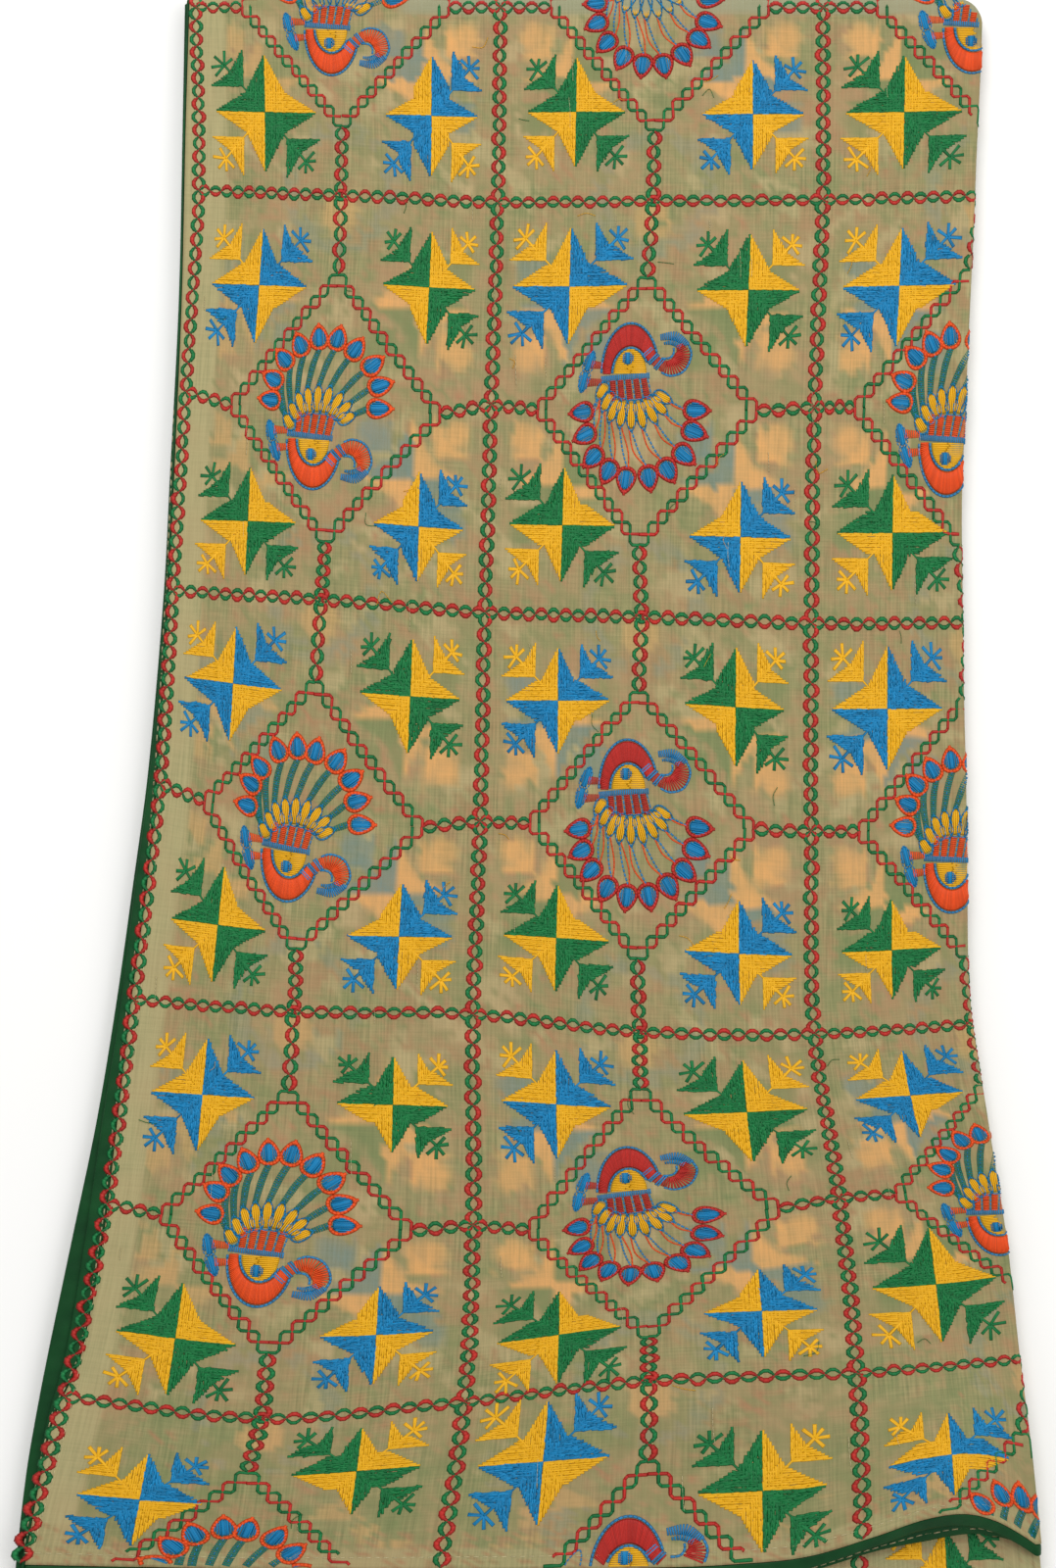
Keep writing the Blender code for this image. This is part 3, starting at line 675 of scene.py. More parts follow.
def fillWedge(colour, origin, size, signs, notch=0.365, ragged=0.0):
    # One concave quarter of a star: rows parallel to each axis, mitred on the diagonal
    size = np.broadcast_to(size, 2)
    slant, deep = (1.0 - notch) / notch, notch * np.min(size)
    length = wedge["raggedLong"] if ragged else wedge["long"]
    for swap in (False, True):
        quadrant, reach = (origin, signs, swap), size[int(swap)]
        # The bed, painted darker as shade where it shows between the stitches
        for bed in np.arange(0.9, deep - 0.6, wedge["bedPitch"]):
            end = reach - slant * bed - 0.8
            cuts = np.linspace(0.2, end, max(1, int(round(end / wedge["bedLong"]))) + 1)
            places = quadrantPoints(cuts, bed, *quadrant)
            stitch(colour, places[:-1], places[1:], wedge["bedWidth"], wedge["bedRise"], wedge["bedShade"])
        for aside in np.arange(0.45, deep, wedge["pitch"]):
            start, end = aside - 0.4, reach - slant * aside
            if end - start < wedge["shortest"]:
                continue
            pieces = max(1, int(round((end - start) / length + dice.uniform(-0.3, 0.3))))
            cuts = np.linspace(start, end, pieces + 1)
            cuts[1:-1] += dice.uniform(-0.9, 0.9, pieces - 1)
            wobble = aside + dice.normal(0.0, 0.10 + ragged, (2, pieces))
            stitch(colour, quadrantPoints(cuts[:-1] - 0.25, wobble[0], *quadrant),
                   quadrantPoints(cuts[1:] + 0.25, wobble[1], *quadrant),
                   wedge["width"] + 2.0 * ragged, wedge["rise"])


def makeBud(colour, origin, size, signs, ragged):
    # Short stem, arrowhead bud, and a floret of five fingers on the diagonal
    corner = origin + 0.43 * size * signs
    stitch(colour, origin + 0.28 * size * signs, corner + 0.8 * signs, width=1.4)
    fillWedge(colour, corner, 0.66 * size, signs, notch=0.39, ragged=ragged)
    heart = origin + 0.80 * size * signs
    stitch(colour, origin + 0.58 * size * signs, heart + 0.5 * signs, width=2.2)
    lean = math.atan2(signs[1], signs[0])
    for turn in (-1.66, -0.84, 0.0, 0.84, 1.66):
        way = heading(lean + turn + dice.normal(0.0, 0.08))
        reach = 0.235 * np.mean(size) * dice.uniform(0.84, 1.14)
        for shift in (-0.35, 0.35):
            aside = leftOf(way) * shift
            stitch(colour, heart + aside * 0.5, heart + way * reach + aside, width=1.6)


def makeStar(origin, outward, pair, reach):
    # outward points away from the cell's diamond; pair is the colour of the outer quarter and the sides
    size = starSize * reach
    for across, down in ((1, 1), (1, -1), (-1, 1), (-1, -1)):
        signs = np.array([across, down]) * outward * dice.uniform(0.98, 1.02, 2)
        colour = pair[0] if across == down else pair[1]
        ragged = 0.0 if colour == "yellow" else 0.20
        fillWedge(colour, origin, size, signs, ragged=ragged)
        if across == 1 or down == 1:
            makeBud(colour, origin, size, signs, ragged)


def makeStairs(centre, tall):
    # Two interlaced stepped threads round the cell's diamond
    step = (diamond["stepX"], diamond["stepY"] * tall) * cellMm
    green, red = [(0, 12), (1, 12)], [(0, 11)]
    for k in range(0, 10, 2):
        green += [(1 + k, 10 - k), (3 + k, 10 - k)]
        red += [(2 + k, 11 - k), (2 + k, 9 - k)]
    for colour, path in (("green", green + [(11, 0)]), ("red", red + [(12, 1), (12, 0)])):
        path = np.array(path, dtype=float) * step
        for signs in ((1, 1), (1, -1), (-1, 1), (-1, -1)):
            corners = centre + path * signs + dice.normal(0.0, 0.22, path.shape)
            way = unit(np.diff(corners, axis=0))
            starts, ends = corners[:-1] + 0.9 * way, corners[1:] - 0.9 * way
            starts[0], ends[-1] = corners[0] - 0.3 * way[0], corners[-1] + 0.3 * way[-1]
            stitch(colour, starts, ends, width=2.2, rise=0.6)
            stitch(colour, ends[:-1] - 0.5 * way[:-1], starts[1:] + 0.5 * way[1:], width=2.1, rise=0.56)


def makeChain(start, end, count, swing=3.2):
    # A chain of lozenges: a red and a green thread that cross between lobes, each full on one side
    run = end - start
    aside = leftOf(unit(run))
    parts = np.array([0.0, 0.18, 0.36, 0.64, 0.82, 1.0])
    for colour, side, full in (("red", 1.0, 2.6), ("green", -1.0, 2.1)):
        for lobe in range(count):
            side = -side
            wobble = dice.normal(0.0, 0.18, 2)
            bow = np.sin(parts * math.pi) * side * (swing + wobble[0]) + wobble[1] * np.sin(parts * math.pi)
            places = start + run * ((lobe + parts) / count)[:, None] + aside * bow[:, None]
            swell = np.sin((parts[:-1] + parts[1:]) * 0.5 * math.pi)
            # Each lobe is painted darker towards its thin ends, as shade where the threads dip and cross
            toneAndShade = dice.uniform(0.72, 1.0) * (0.36 + 0.64 * swell)
            steps = unit(np.diff(places, axis=0))
            thick = full * (swing / 3.2) * dice.uniform(0.75, 1.15)
            stitch(colour, places[:-1] - 0.4 * steps, places[1:] + 0.4 * steps,
                   1.3 + thick * swell, 0.6, toneAndShade)


def alongPath(path, pitch):
    # Even stations on a broken line: places, directions and shares of its length
    path = np.asarray(path, dtype=float)
    reached = runOf(path)
    wanted = np.linspace(0.0, reached[-1], max(2, int(round(reached[-1] / pitch)) + 1))
    places = toPoints(*[np.interp(wanted, reached, path[:, k]) for k in (0, 1)])
    return places, unit(np.gradient(places, axis=0)), wanted / reached[-1]


def bend(points, count=24):
    # Smooth curve through a few points
    points = np.array(points, dtype=float)
    knots = np.arange(len(points), dtype=float)
    key = np.linspace(0.0, knots[-1], count)
    return toPoints(*[curveThrough(knots, points[:, k:k + 1], key) for k in (0, 1)])


def fillBand(colour, place, path, widths, pitch=0.95, rise=0.6):
    # Satin stitch across a band that follows a path
    places, ways, shares = alongPath(path, pitch)
    half = 0.5 * np.interp(shares, np.linspace(0.0, 1.0, len(widths)), widths)
    aside = leftOf(ways) * half[:, None]
    stitch(colour, place(places - aside), place(places + aside), width=1.25 * pitch, rise=rise)


def runThread(colour, place, path, width=1.1, dash=3.0, gap=0.0, rise=0.6):
    # Running stitch on a path: stitches of one length with gaps between
    places = alongPath(path, dash + gap)[0]
    steps = np.diff(places, axis=0)
    spare = 0.5 * (1.0 - dash / (dash + gap)) - (0.06 if gap == 0.0 else 0.0)
    stitch(colour, place(places[:-1] + steps * spare), place(places[1:] - steps * spare), width, rise)


def dropLine(centre, angle, length, width, count=20):
    # Outline of a drop: round behind, pointed ahead
    turn = np.linspace(0.0, 2.0 * math.pi, count)
    along = 0.5 * length * np.cos(turn)
    aside = 0.5 * width * np.sin(turn) * (1.0 - 0.42 * np.cos(turn)) / 1.08
    return centre + along[:, None] * heading(angle) + aside[:, None] * leftOf(heading(angle))


def fillDrop(colour, place, centre, angle, length, width, pitch=1.0, rise=0.65):
    # Stitches along a drop, side by side, on a low bed painted darker, as shade between them
    way = heading(angle)
    step = 0.46 * length * way
    stitch(colour, place(centre - step), place(centre + step), width=0.8 * width, rise=0.5 * rise, toneAndShade=0.8)
    for aside in np.arange(-0.5 * width + 0.5 * pitch, 0.5 * width, pitch):
        step = way * 0.5 * length * math.sqrt(max(0.05, 1.0 - (2.0 * aside / width) ** 2))
        middle = centre + aside * leftOf(way)
        stitch(colour, place(middle - step * 0.95), place(middle + step * 1.05), width=1.3 * pitch, rise=rise)


peacock = {
    "eyes": 10,
    "ringHeart": (-2.6, 3.2),       # middle of the ring of feather eyes
    "ringReach": (28.8, 31.6),
    "bodyHeart": (-6.8, -17.2),     # the half-round body hangs from here
    "bodyReach": (8.4, 12.4),
    "crescentReach": (14.6, 24.8),
    "broad": 1.13,                  # the cloth is drawn in across, so the bird is drawn wider
}
# Petals: middle x and y, angle in degrees, length
petals = (
    (-20.8, -8.6, 122.0, 7.0), (-18.0, -3.4, 118.0, 8.6), (-14.6, 0.6, 110.0, 11.0), (-10.4, 2.4, 98.0, 12.2),
    (-5.6, 3.2, 88.0, 13.0), (-0.8, 2.8, 76.0, 13.0), (3.8, 1.0, 62.0, 12.4), (7.6, -1.8, 46.0, 10.4),
    (9.8, -5.6, 26.0, 7.4),
)


def makeFeathers(place, bodyColour, teal):
    # Feather eyes on their stalks, fanned round the petals
    for k in range(peacock["eyes"]):
        share = k / (peacock["eyes"] - 1)
        angle = math.radians(183.0 - 189.0 * share)
        eye = np.array(peacock["ringHeart"]) + heading(angle) * peacock["ringReach"]
        eye += dice.normal(0.0, 0.5, 2)
        lean = angle + math.radians(-10.0 + 18.0 * share)
        way = heading(lean)
        x, y, degrees, length = petals[min(len(petals) - 1, int(share * (len(petals) - 0.01)))]
        out = heading(math.radians(degrees))
        root, tip = np.array((x, y)) + out * (0.5 * length + 0.6), eye - 5.6 * way
        knee = 0.5 * (root + tip) + 1.8 * out
        stalk = bend((root, knee, tip), 12)
        if teal:
            fillBand("teal", place, stalk, (3.0, 3.6, 3.2), pitch=1.1, rise=0.5)
            runThread("sky", place, stalk, width=0.8, dash=1.5, gap=1.1, rise=0.95)
        else:
            side = 1.7 if share > 0.5 else -1.7
            runThread("sky", place, stalk, width=1.3, dash=1.7, gap=0.4)
            bowed = bend((root - (side * 0.6, 0.0), knee - (side * 1.6, 0.0), tip - (side * 0.3, 0.0)), 12)
            runThread("orange", place, bowed, width=1.1, dash=2.6)
        fillDrop("blue", place, eye - 0.3 * way, lean, 9.6, 7.8)
        runThread(bodyColour, place, dropLine(eye, lean, 11.8, 9.0, 26), width=2.7, dash=1.6, rise=0.8)
        stitch(bodyColour, place(eye + 4.6 * way), place(eye + 7.4 * way), width=2.2, rise=0.8)


def makePetals(place, bodyColour):
    # Yellow petals with a blue outline, and the ribs they spring from
    for x, y, degrees, length in petals:
        angle = math.radians(degrees)
        edge = dropLine((x, y), angle, length + 3.0, 6.2, 18)
        runThread("blue", place, edge, width=1.25, dash=1.7, gap=0.1, rise=0.9)
        for aside in (-1.35, -0.45, 0.45, 1.35):
            middle = (x, y) + leftOf(heading(angle)) * aside
            half = heading(angle) * 0.53 * length * (1.0 - 0.06 * abs(aside))
            stitch("yellow", place(middle - half), place(middle + half), width=1.35, rise=0.7)
    for k in range(6):
        foot = np.array([-17.4 + 3.9 * k, -13.4 - 0.30 * k])
        top = foot + (0.6 + 0.35 * k, 9.4)
        runThread("sky", place, (foot, top), width=1.1, dash=1.9, gap=0.3)
        if k < 5:
            shift = np.array([1.95, -0.1])
            fillBand(bodyColour, place, (foot + shift, top + shift), (2.9, 3.2), rise=0.7)
    fillBand("sky", place, ((-21.0, -14.6), (2.6, -16.4)), (3.2, 3.2), rise=0.7)


def makeBody(place, bodyColour):
    # Yellow half-round with a blue drop, in a thick crescent
    heart = np.array(peacock["bodyHeart"])
    reachX, reachY = peacock["bodyReach"]
    for depth in np.arange(0.6, reachY - 0.4, 0.95):
        half = reachX * math.sqrt(max(0.04, 1.0 - (depth / reachY) ** 2))
        middle = heart + (0.0, -depth)
        cut = dice.uniform(-0.3, 0.3) * half
        for start, end in ((-half, cut), (cut - 0.3, half)):
            stitch("yellow", place(middle + (start, 0.0)), place(middle + (end, 0.0)), width=1.3)
    stitch("blue", place(heart + (-1.4, -4.6)), place(heart + (-1.4, -11.0)), width=5.4, rise=1.0, toneAndShade=0.9)
    fillDrop("blue", place, heart + (-1.4, -7.8), math.radians(90.0), 6.6, 6.0, pitch=0.8, rise=1.35)
    spoke = heading(np.radians(np.linspace(181.0, 333.0, 62)))
    swell = np.sin(np.linspace(0.10, 0.90, 62) * math.pi)
    inner = spoke * (reachX + 1.3, reachY + 1.2)
    outer = inner + (spoke * peacock["crescentReach"] - inner) * (0.78 + 0.22 * swell)[:, None]
    stitch(bodyColour, place(heart + inner), place(heart + outer), width=1.35, rise=0.75)
    for line in (inner - spoke * 0.6, outer + spoke * 0.7):
        runThread("sky", place, heart + line, width=1.7, dash=1.9, gap=0.05, rise=0.85)


def makeHead(place, bodyColour):
    # Neck in blocks, curled head, crest and beak
    neck = bend(((1.6, -28.0), (4.8, -24.6), (8.0, -22.0)), 16)
    fillBand(bodyColour, place, neck, (6.4, 5.8, 5.6))
    for k in (0, 7, 14):
        way = unit(neck[k + 1] - neck[max(0, k - 1)])
        for shift in (-0.6, 0.6):
            middle, aside = neck[k] + way * shift, leftOf(way) * 3.6
            stitch("sky", place(middle - aside), place(middle + aside), width=1.4, rise=1.0)
    head = bend(((8.4, -21.6), (12.6, -20.6), (16.8, -22.6), (18.6, -27.6), (17.0, -31.8)), 34)
    fillBand(bodyColour, place, head, (5.6, 7.8, 8.6, 7.4, 3.6), rise=0.75)
    rim = bend(((8.6, -18.2), (13.2, -16.4), (19.6, -19.0), (22.8, -27.0), (20.6, -33.4)), 32)
    runThread("sky", place, rim, width=1.7, dash=1.9, gap=0.05)
    hollow = bend(((9.0, -25.0), (12.4, -25.2), (14.4, -27.6), (14.2, -30.6)), 20)
    runThread("sky", place, hollow, width=1.6, dash=1.9, gap=0.05)
    fillBand("sky", place, bend(((20.4, -32.4), (14.8, -36.2), (8.0, -35.6)), 16), (3.0, 5.0, 3.4), rise=0.75)
    fillBand("blue", place, bend(((17.4, -31.4), (13.6, -33.0), (9.8, -32.6)), 12), (3.4, 3.0, 1.4), rise=0.7)


def makePeacock(centre, upright, bodyColour, teal):
    # A plain folk bird: half-round body, ribs, petals and a fan of feather eyes.
    # Its own millimetres run right and up from the middle of the diamond.
    def place(points):
        return centre + np.asarray(points, dtype=float) * (peacock["broad"], -1.0 if upright else 1.0)

    makeFeathers(place, bodyColour, teal)
    makePetals(place, bodyColour)
    makeBody(place, bodyColour)
    makeHead(place, bodyColour)
    # Tail piece: a two-lobed blue bar on two links
    for x, y, degrees in ((-30.4, -13.6, 104.0), (-27.6, -23.4, 290.0)):
        lean = math.radians(degrees)
        fillDrop("blue", place, (x, y), lean, 11.0, 5.0)
        runThread("sky", place, dropLine((x, y), lean, 12.0, 5.8, 16), width=0.9, dash=1.5, gap=0.4)
    for link in (((-28.4, -13.0), (-21.4, -13.2)), ((-26.4, -22.0), (-20.8, -21.4))):
        fillBand(bodyColour, place, link, (4.6, 3.4), rise=0.65)


def cellPoint(u, v):
    return np.array([u, v]) * cellMm


# Where the cloth carries the stars, by row down the cloth and column across it:
# how far across and along, in cells, and their share of the plain size each way
starMoves = {
    0.29: ((0.0, -0.004, 1.17, 1.17), (0.022, -0.005, 0.95, 1.17), (0.014, -0.019, 1.05, 1.04),
           (0.027, -0.010, 1.0, 1.05), (0.010, -0.012, 1.17, 1.10)),
    0.71: ((0.0, 0.023, 1.13, 1.05), (0.030, 0.010, 0.95, 1.02), (0.006, 0.0, 1.22, 1.07),
           (0.025, 0.012, 1.0, 1.03), (0.012, 0.004, 1.17, 1.05)),
    1.29: ((0.009, 0.028, 1.09, 1.0), (0.026, 0.016, 0.91, 0.98), (0.006, -0.003, 1.13, 1.0),
           (0.022, 0.015, 0.98, 0.96), (0.016, 0.0, 1.16, 0.99)),
    1.71: ((-0.012, 0.011, 1.10, 1.04), (0.018, 0.0, 0.98, 0.98), (0.002, -0.002, 1.09, 0.96),
           (0.012, 0.0, 0.97, 1.07), (0.004, -0.006, 1.16, 1.10)),
    2.29: ((0.006, 0.015, 1.03, 1.03), (0.019, 0.015, 0.98, 1.03), (0.009, 0.0, 1.08, 0.97),
           (0.022, 0.010, 1.03, 0.93), (0.017, 0.003, 1.05, 0.92)),
    2.71: ((0.010, 0.007, 1.05, 1.03), (0.018, 0.010, 0.98, 0.84), (0.012, -0.009, 1.09, 0.99),
           (0.021, 0.010, 1.11, 1.12), (0.033, -0.012, 1.13, 1.0)),
    3.29: ((0.018, 0.030, 1.06, 1.04), (-0.001, 0.006, 0.94, 0.97), (0.016, 0.056, 1.18, 1.0),
           (0.012, 0.036, 0.92, 0.94), (0.011, -0.020, 1.22, 1.2)),
    3.71: ((0.0, 0.018, 0.97, 0.87), (-0.016, -0.060, 1.06, 0.83), (-0.006, -0.047, 1.14, 1.04),
           (0.004, 0.042, 0.98, 0.94), (0.004, 0.026, 1.12, 0.82)),
}
# Steps of the diamonds, and how far from their middles the chains meet them, in cells
diamond = {"stepX": 0.0282, "stepY": 0.0266, "tip": 0.322, "side": 0.34}
# Where the four stars lie in a cell
starShares = ((0.235, 0.21), (0.765, 0.21), (0.235, 0.79), (0.765, 0.79))
# By column and row of the cell, how far its diamond is moved across and along,
# and its share of the plain height
diamondMoves = {
    (0, 1): (0.006, 0.029, 1.03), (1, 1): (-0.012, 0.011, 1.0), (2, 1): (-0.036, 0.0, 1.0),
    (0, 2): (-0.006, 0.020, 1.015), (1, 2): (-0.008, 0.006, 1.0), (2, 2): (-0.012, 0.0, 1.0),
    (0, 3): (0.0, 0.017, 1.0), (1, 3): (0.0, 0.017, 1.15), (0, 4): (-0.019, -0.039, 1.0),
    (2, 4): (-0.050, -0.010, 1.0),
}


# The birds' moves off the middles of their diamonds
birdMoves = {
    (0, 0): (0.012, -0.024), (1, 0): (0.004, -0.020), (2, 0): (-0.008, -0.030), (0, 1): (-0.004, -0.005),
    (1, 2): (0.010, 0.008), (2, 4): (0.025, -0.010),
}


def makePatternCell(column, row, mirrored):
    # Cell column, row runs from u = column to column + 1 and from v = row - 0.5 to row + 0.5
    top = row - 0.5
    for shareX, shareY in starShares:
        outward = np.sign((shareX - 0.5, shareY - 0.5))
        sides = "blue" if (outward[0] * outward[1] > 0.0) != mirrored else "green"
        moves = starMoves.get(round(top + shareY, 2), ())
        index = 2 * column + (shareX > 0.5)
        moveU, moveV, *reach = (0.0, 0.0, 1.0, 1.0) if mirrored or index >= len(moves) else moves[index]
        heart = cellPoint(column + shareX + moveU, top + shareY + moveV)
        makeStar(heart, outward, ("yellow", sides), np.array(reach))
    moveU, moveV, tall = (0.0, 0.0, 1.0) if mirrored else diamondMoves.get((column, row), (0.0, 0.0, 1.0))
    u, v = column + 0.5 + moveU, row + moveV
    makeStairs(cellPoint(u, v), tall)
    makeChain(cellPoint(column, top), cellPoint(column + 1, top), 25, swing=dice.uniform(2.2, 2.7))
    makeChain(cellPoint(column, top), cellPoint(column, top + 1), 28)
    makeChain(cellPoint(column + 0.5, top), cellPoint(u, v - diamond["tip"] * tall), 5)
    makeChain(cellPoint(u, v + diamond["tip"] * tall), cellPoint(column + 0.5, top + 1), 5)
    makeChain(cellPoint(column, row), cellPoint(u - diamond["side"], v), 4, swing=2.7)
    makeChain(cellPoint(u + diamond["side"], v), cellPoint(column + 1, row), 4, swing=2.7)
    moveU, moveV = (0.0, 0.0) if mirrored else birdMoves.get((column, row), (0.0, 0.0))
    orange = column % 2 == 0
    makePeacock(cellPoint(u + moveU, v + moveV), orange, "orange" if orange else "red", orange)


def makeTails(count, columns, rows):
    # Loose thread ends and pale floats among the stars
    for k in range(count):
        start = dice.uniform((0.04, 0.0), (columns, rows)) * cellMm
        angle = dice.uniform(0.0, 2.0 * math.pi)
        colour = ("cream", "cream", "yellow", "green")[k % 4]
        upright = colour == "cream"
        bow = dice.normal(0.0, 2.2) * (0.2 if upright else 1.0)
        way = np.array([0.06, 1.0]) if upright else heading(angle)
        long = dice.uniform(7.0, 18.0) if upright else dice.uniform(5.0, 11.0)
        path = bend((start, start + way * 0.5 * long + leftOf(way) * bow, start + way * long), 7)
        stitch(colour, path[:-1], path[1:], width=0.42, rise=0.75, toneAndShade=0.95)


def threadMaterial(name, colour):
    # Floss: each stitch has its own tone, with painted shade where it sinks in and painted light where it is
    # raised, and fine strands along it
    material, tree, shader = newMaterial(name, 0.52, 0.30)
    toneAndShade = addNode(tree, "Attribute", attribute_name="toneAndShade")
    # dark and light: painted shade and painted light of the one thread colour
    dark, light = (tuple(min(1.0, part * thread[key]) for part in colour[:3]) + (1.0,)
                   for key in ("sunkShade", "raisedLight"))
    blend = addNode(tree, "Mix", data_type="RGBA", A=dark, B=light)
    coords = addNode(tree, "UVMap", uv_map="strand")
    stretch = addNode(tree, "Mapping", Scale=(0.35, 2.6, 1.0))
    strands = addNode(tree, "TexNoise", Scale=1.0, Detail=2.0)
    mixed = addNode(tree, "Mix", data_type="RGBA", blend_type="MULTIPLY", Factor=thread["strands"])
    bump = addNode(tree, "Bump", Strength=0.5, Distance=0.0002)
    wire(tree, (coords, "UV", stretch, "Vector"), (stretch, "Vector", strands, "Vector"),
         (toneAndShade, "Fac", blend, "Factor"), (blend, "Result", mixed, "A"),
         (strands, "Fac", mixed, "B"), (mixed, "Result", shader, "Base Color"),
         (strands, "Fac", bump, "Height"), (bump, "Normal", shader, "Normal"))
    return material


def layStitches(rows, face):
    # Corner points of the stitches, laid on a face: face(u, v) gives a point of it
    along, aside, rise = (stitchShape[key][None, :] for key in ("along", "aside", "rise"))
    starts, way = rows[:, 0:2], rows[:, 2:4] - rows[:, 0:2]
    side = leftOf(way) / np.maximum(np.linalg.norm(way, axis=1), 1e-6)[:, None]
    cloth = starts[:, None, :] + way[:, None, :] * along[:, :, None]
    cloth = cloth + side[:, None, :] * (aside * 0.5 * rows[:, 4:5])[:, :, None]
    u, v = (cloth / cellMm).reshape(-1, 2).T
    base = face(u, v)
    normal = unit(np.cross(face(u, v + thread["probe"]) - base, face(u + thread["probe"], v) - base))
    lift = (rise * rows[:, 5:6] - thread["bite"]).reshape(-1) * 0.001
    points = base + normal * lift[:, None]
    # Thread under the pile is pressed flat by what it lies on
    points[:, 2] = np.maximum(points[:, 2], 0.0)
    return points


def sewPieces(prefix, face, keep):
    # One piece for each colour of thread
    pieces = []
    shape = stitchShape["along"], stitchShape["aside"]
    for colour, rows in sewn.items():
        rows = np.concatenate(rows)
        inside = keep(*(rows[:, 0:2] / cellMm).T)
        inside &= keep(*(rows[:, 2:4] / cellMm).T)
        rows = rows[inside]
        if not len(rows):
            continue
        faces = (np.arange(len(rows))[:, None, None] * len(shape[0]) + stitchFaces[None]).reshape(-1, 3)
        points = layStitches(rows, face)
        piece = addMesh(prefix + colour.capitalize(), points, faces, threads[colour])
        # Each stitch's own tone times the painted shade of its shape
        layer = piece.data.attributes.new("toneAndShade", "FLOAT", "POINT")
        layer.data.foreach_set("value", (rows[:, 6:7] * stitchShape["light"]).ravel())
        length = np.linalg.norm(rows[:, 2:4] - rows[:, 0:2], axis=1)[:, None]
        start = dice.uniform(0.0, 400.0, len(rows))[:, None]
        strand = toPoints(start + length * shape[0], start + rows[:, 4:5] * shape[1])
        layer = piece.data.uv_layers.new(name="strand")
        layer.data.foreach_set("uv", strand.reshape(-1, 2)[faces.ravel()].ravel())
        print(piece.name, "stitches", len(rows), "triangles", len(faces))
        pieces.append(piece)
    sewn.clear()
    return pieces


threads = {name: threadMaterial(name + "Thread", colour) for name, colour in threadColours.items()}


def frontFaceAt(u, v):
    return frontFace(*patternPlan(u, v))


def onFront(u, v):
    # Whether a cloth point is on the front ply's face, with its rounded far corner
    x, y = patternPlan(u, v)
    overX, overY, inset = x - foldOutside(y) + sideRollRadius(y), y - farCrest, pile["cornerRadius"]
    corner = (overX > -inset) & (overY > -inset) & (np.hypot(overX + inset, overY + inset) > inset + 0.0005)
    return (v < cell["hemV"] - 0.005) & (overX < 0.005) & (overY < 0.0105) & ~corner


def runAlong(points):
    # Cream running stitch through cloth points
    path = bend(points, 60) * cellMm
    runThread("cream", lambda places: places, path, width=0.55, dash=2.6, gap=1.5, rise=0.45)


def makePattern(mirrored, tails, lastV):
    for column in range(3):
        for row in range(5):
            makePatternCell(column, row, mirrored)
    makeTails(tails, 2.4, lastV)


makePattern(False, 90, 3.8)
runAlong(((0.013, 2.1), (0.020, 2.6), (0.015, 3.1), (0.022, 3.6), (0.020, 3.87)))
runAlong(((0.0, 3.872), (0.8, 3.870), (1.6, 3.872), (2.4, 3.870)))
frontThreads = sewPieces("front", frontFaceAt, onFront)
print("front embroidery sewn")

# folded plies underneath
# left inset, left z, far inset, far z, right inset, right z, near inset, near z
pliesSides = (
    (0.0108, 0.0006, 0.0140, 0.0006, 0.0022, 0.0006, 0.0036, 0.0006),
    (0.0102, 0.0009, 0.0134, 0.0009, 0.0009, 0.0011, 0.0016, 0.0010),
    (0.0102, 0.0018, 0.0134, 0.0018, 0.0004, 0.0020, 0.0004, 0.0020),
    (0.0102, 0.0030, 0.0134, 0.0030, 0.0008, 0.0031, 0.0000, 0.0040),
    (0.0102, 0.0039, 0.0134, 0.0056, 0.0020, 0.0039, 0.0004, 0.0058),
    (0.0102, 0.0048, 0.0092, 0.0060, 0.0009, 0.0047, 0.0013, 0.0070),
    (0.0102, 0.0060, 0.0068, 0.0080, 0.0004, 0.0059, 0.0028, 0.0077),
    (0.0102, 0.0072, 0.0086, 0.0100, 0.0009, 0.0071, 0.0050, 0.0079),
    (0.0104, 0.0079, 0.0100, 0.0105, 0.0024, 0.0079, 0.0080, 0.0079),
    (0.0112, 0.0100, 0.0118, 0.0106, 0.0088, 0.0079, 0.0104, 0.0079),
    (0.0130, 0.0106, 0.0140, 0.0106, 0.0126, 0.0106, 0.0126, 0.0079),
)
plies = {
    "top": 0.0106, "ledge": 0.0079, "stepBack": 0.0105, "stepRun": 0.0045, "farTurn": 0.018,
    "dipMargin": 1.5, "dipReach": 0.018, "across": 70, "along": 130,
}


def pliesPlan(shareX, shareY, leftIn, farIn, rightIn, nearIn):
    farLine, nearLine = pile["farY"] - farIn, pile["nearY"] + nearIn
    y = farLine + shareY * (nearLine - farLine)
    left, right = outlineLeft(y) + leftIn, foldOutside(y) - rightIn
    fromRight, fromLeft = (right - left) * (1.0 - shareX), (right - left) * shareX
    farRight, fromFar = roundCorner(fromRight, farLine - y, pile["cornerRadius"])
    nearRight, fromNear = roundCorner(fromRight, y - nearLine, pile["cornerRadius"])
    far = shareY < 0.5
    x = np.where(shareX > 0.5, right - np.where(far, farRight, nearRight), left + fromLeft)
    return x, np.where(shareX > 0.5, np.where(far, farLine - fromFar, nearLine + fromNear), y)


def pliesHeight(x, y):
    # The second ply's face gives way where the front cloth dips, and steps down past its hem
    reach = plies["dipReach"]
    dip = np.max([pile["top"] - frontHeight(x + dx, y + dy)
                  for dx in (-reach, 0.0, reach) for dy in (-reach, 0.0, reach)], axis=0)
    second = plies["top"] - plies["dipMargin"] * np.maximum(dip, 0.0)
    hemY = readTable(hemLine, x, 1) + plies["stepBack"]
    return second + (plies["ledge"] - second) * ease((hemY - y) / plies["stepRun"])


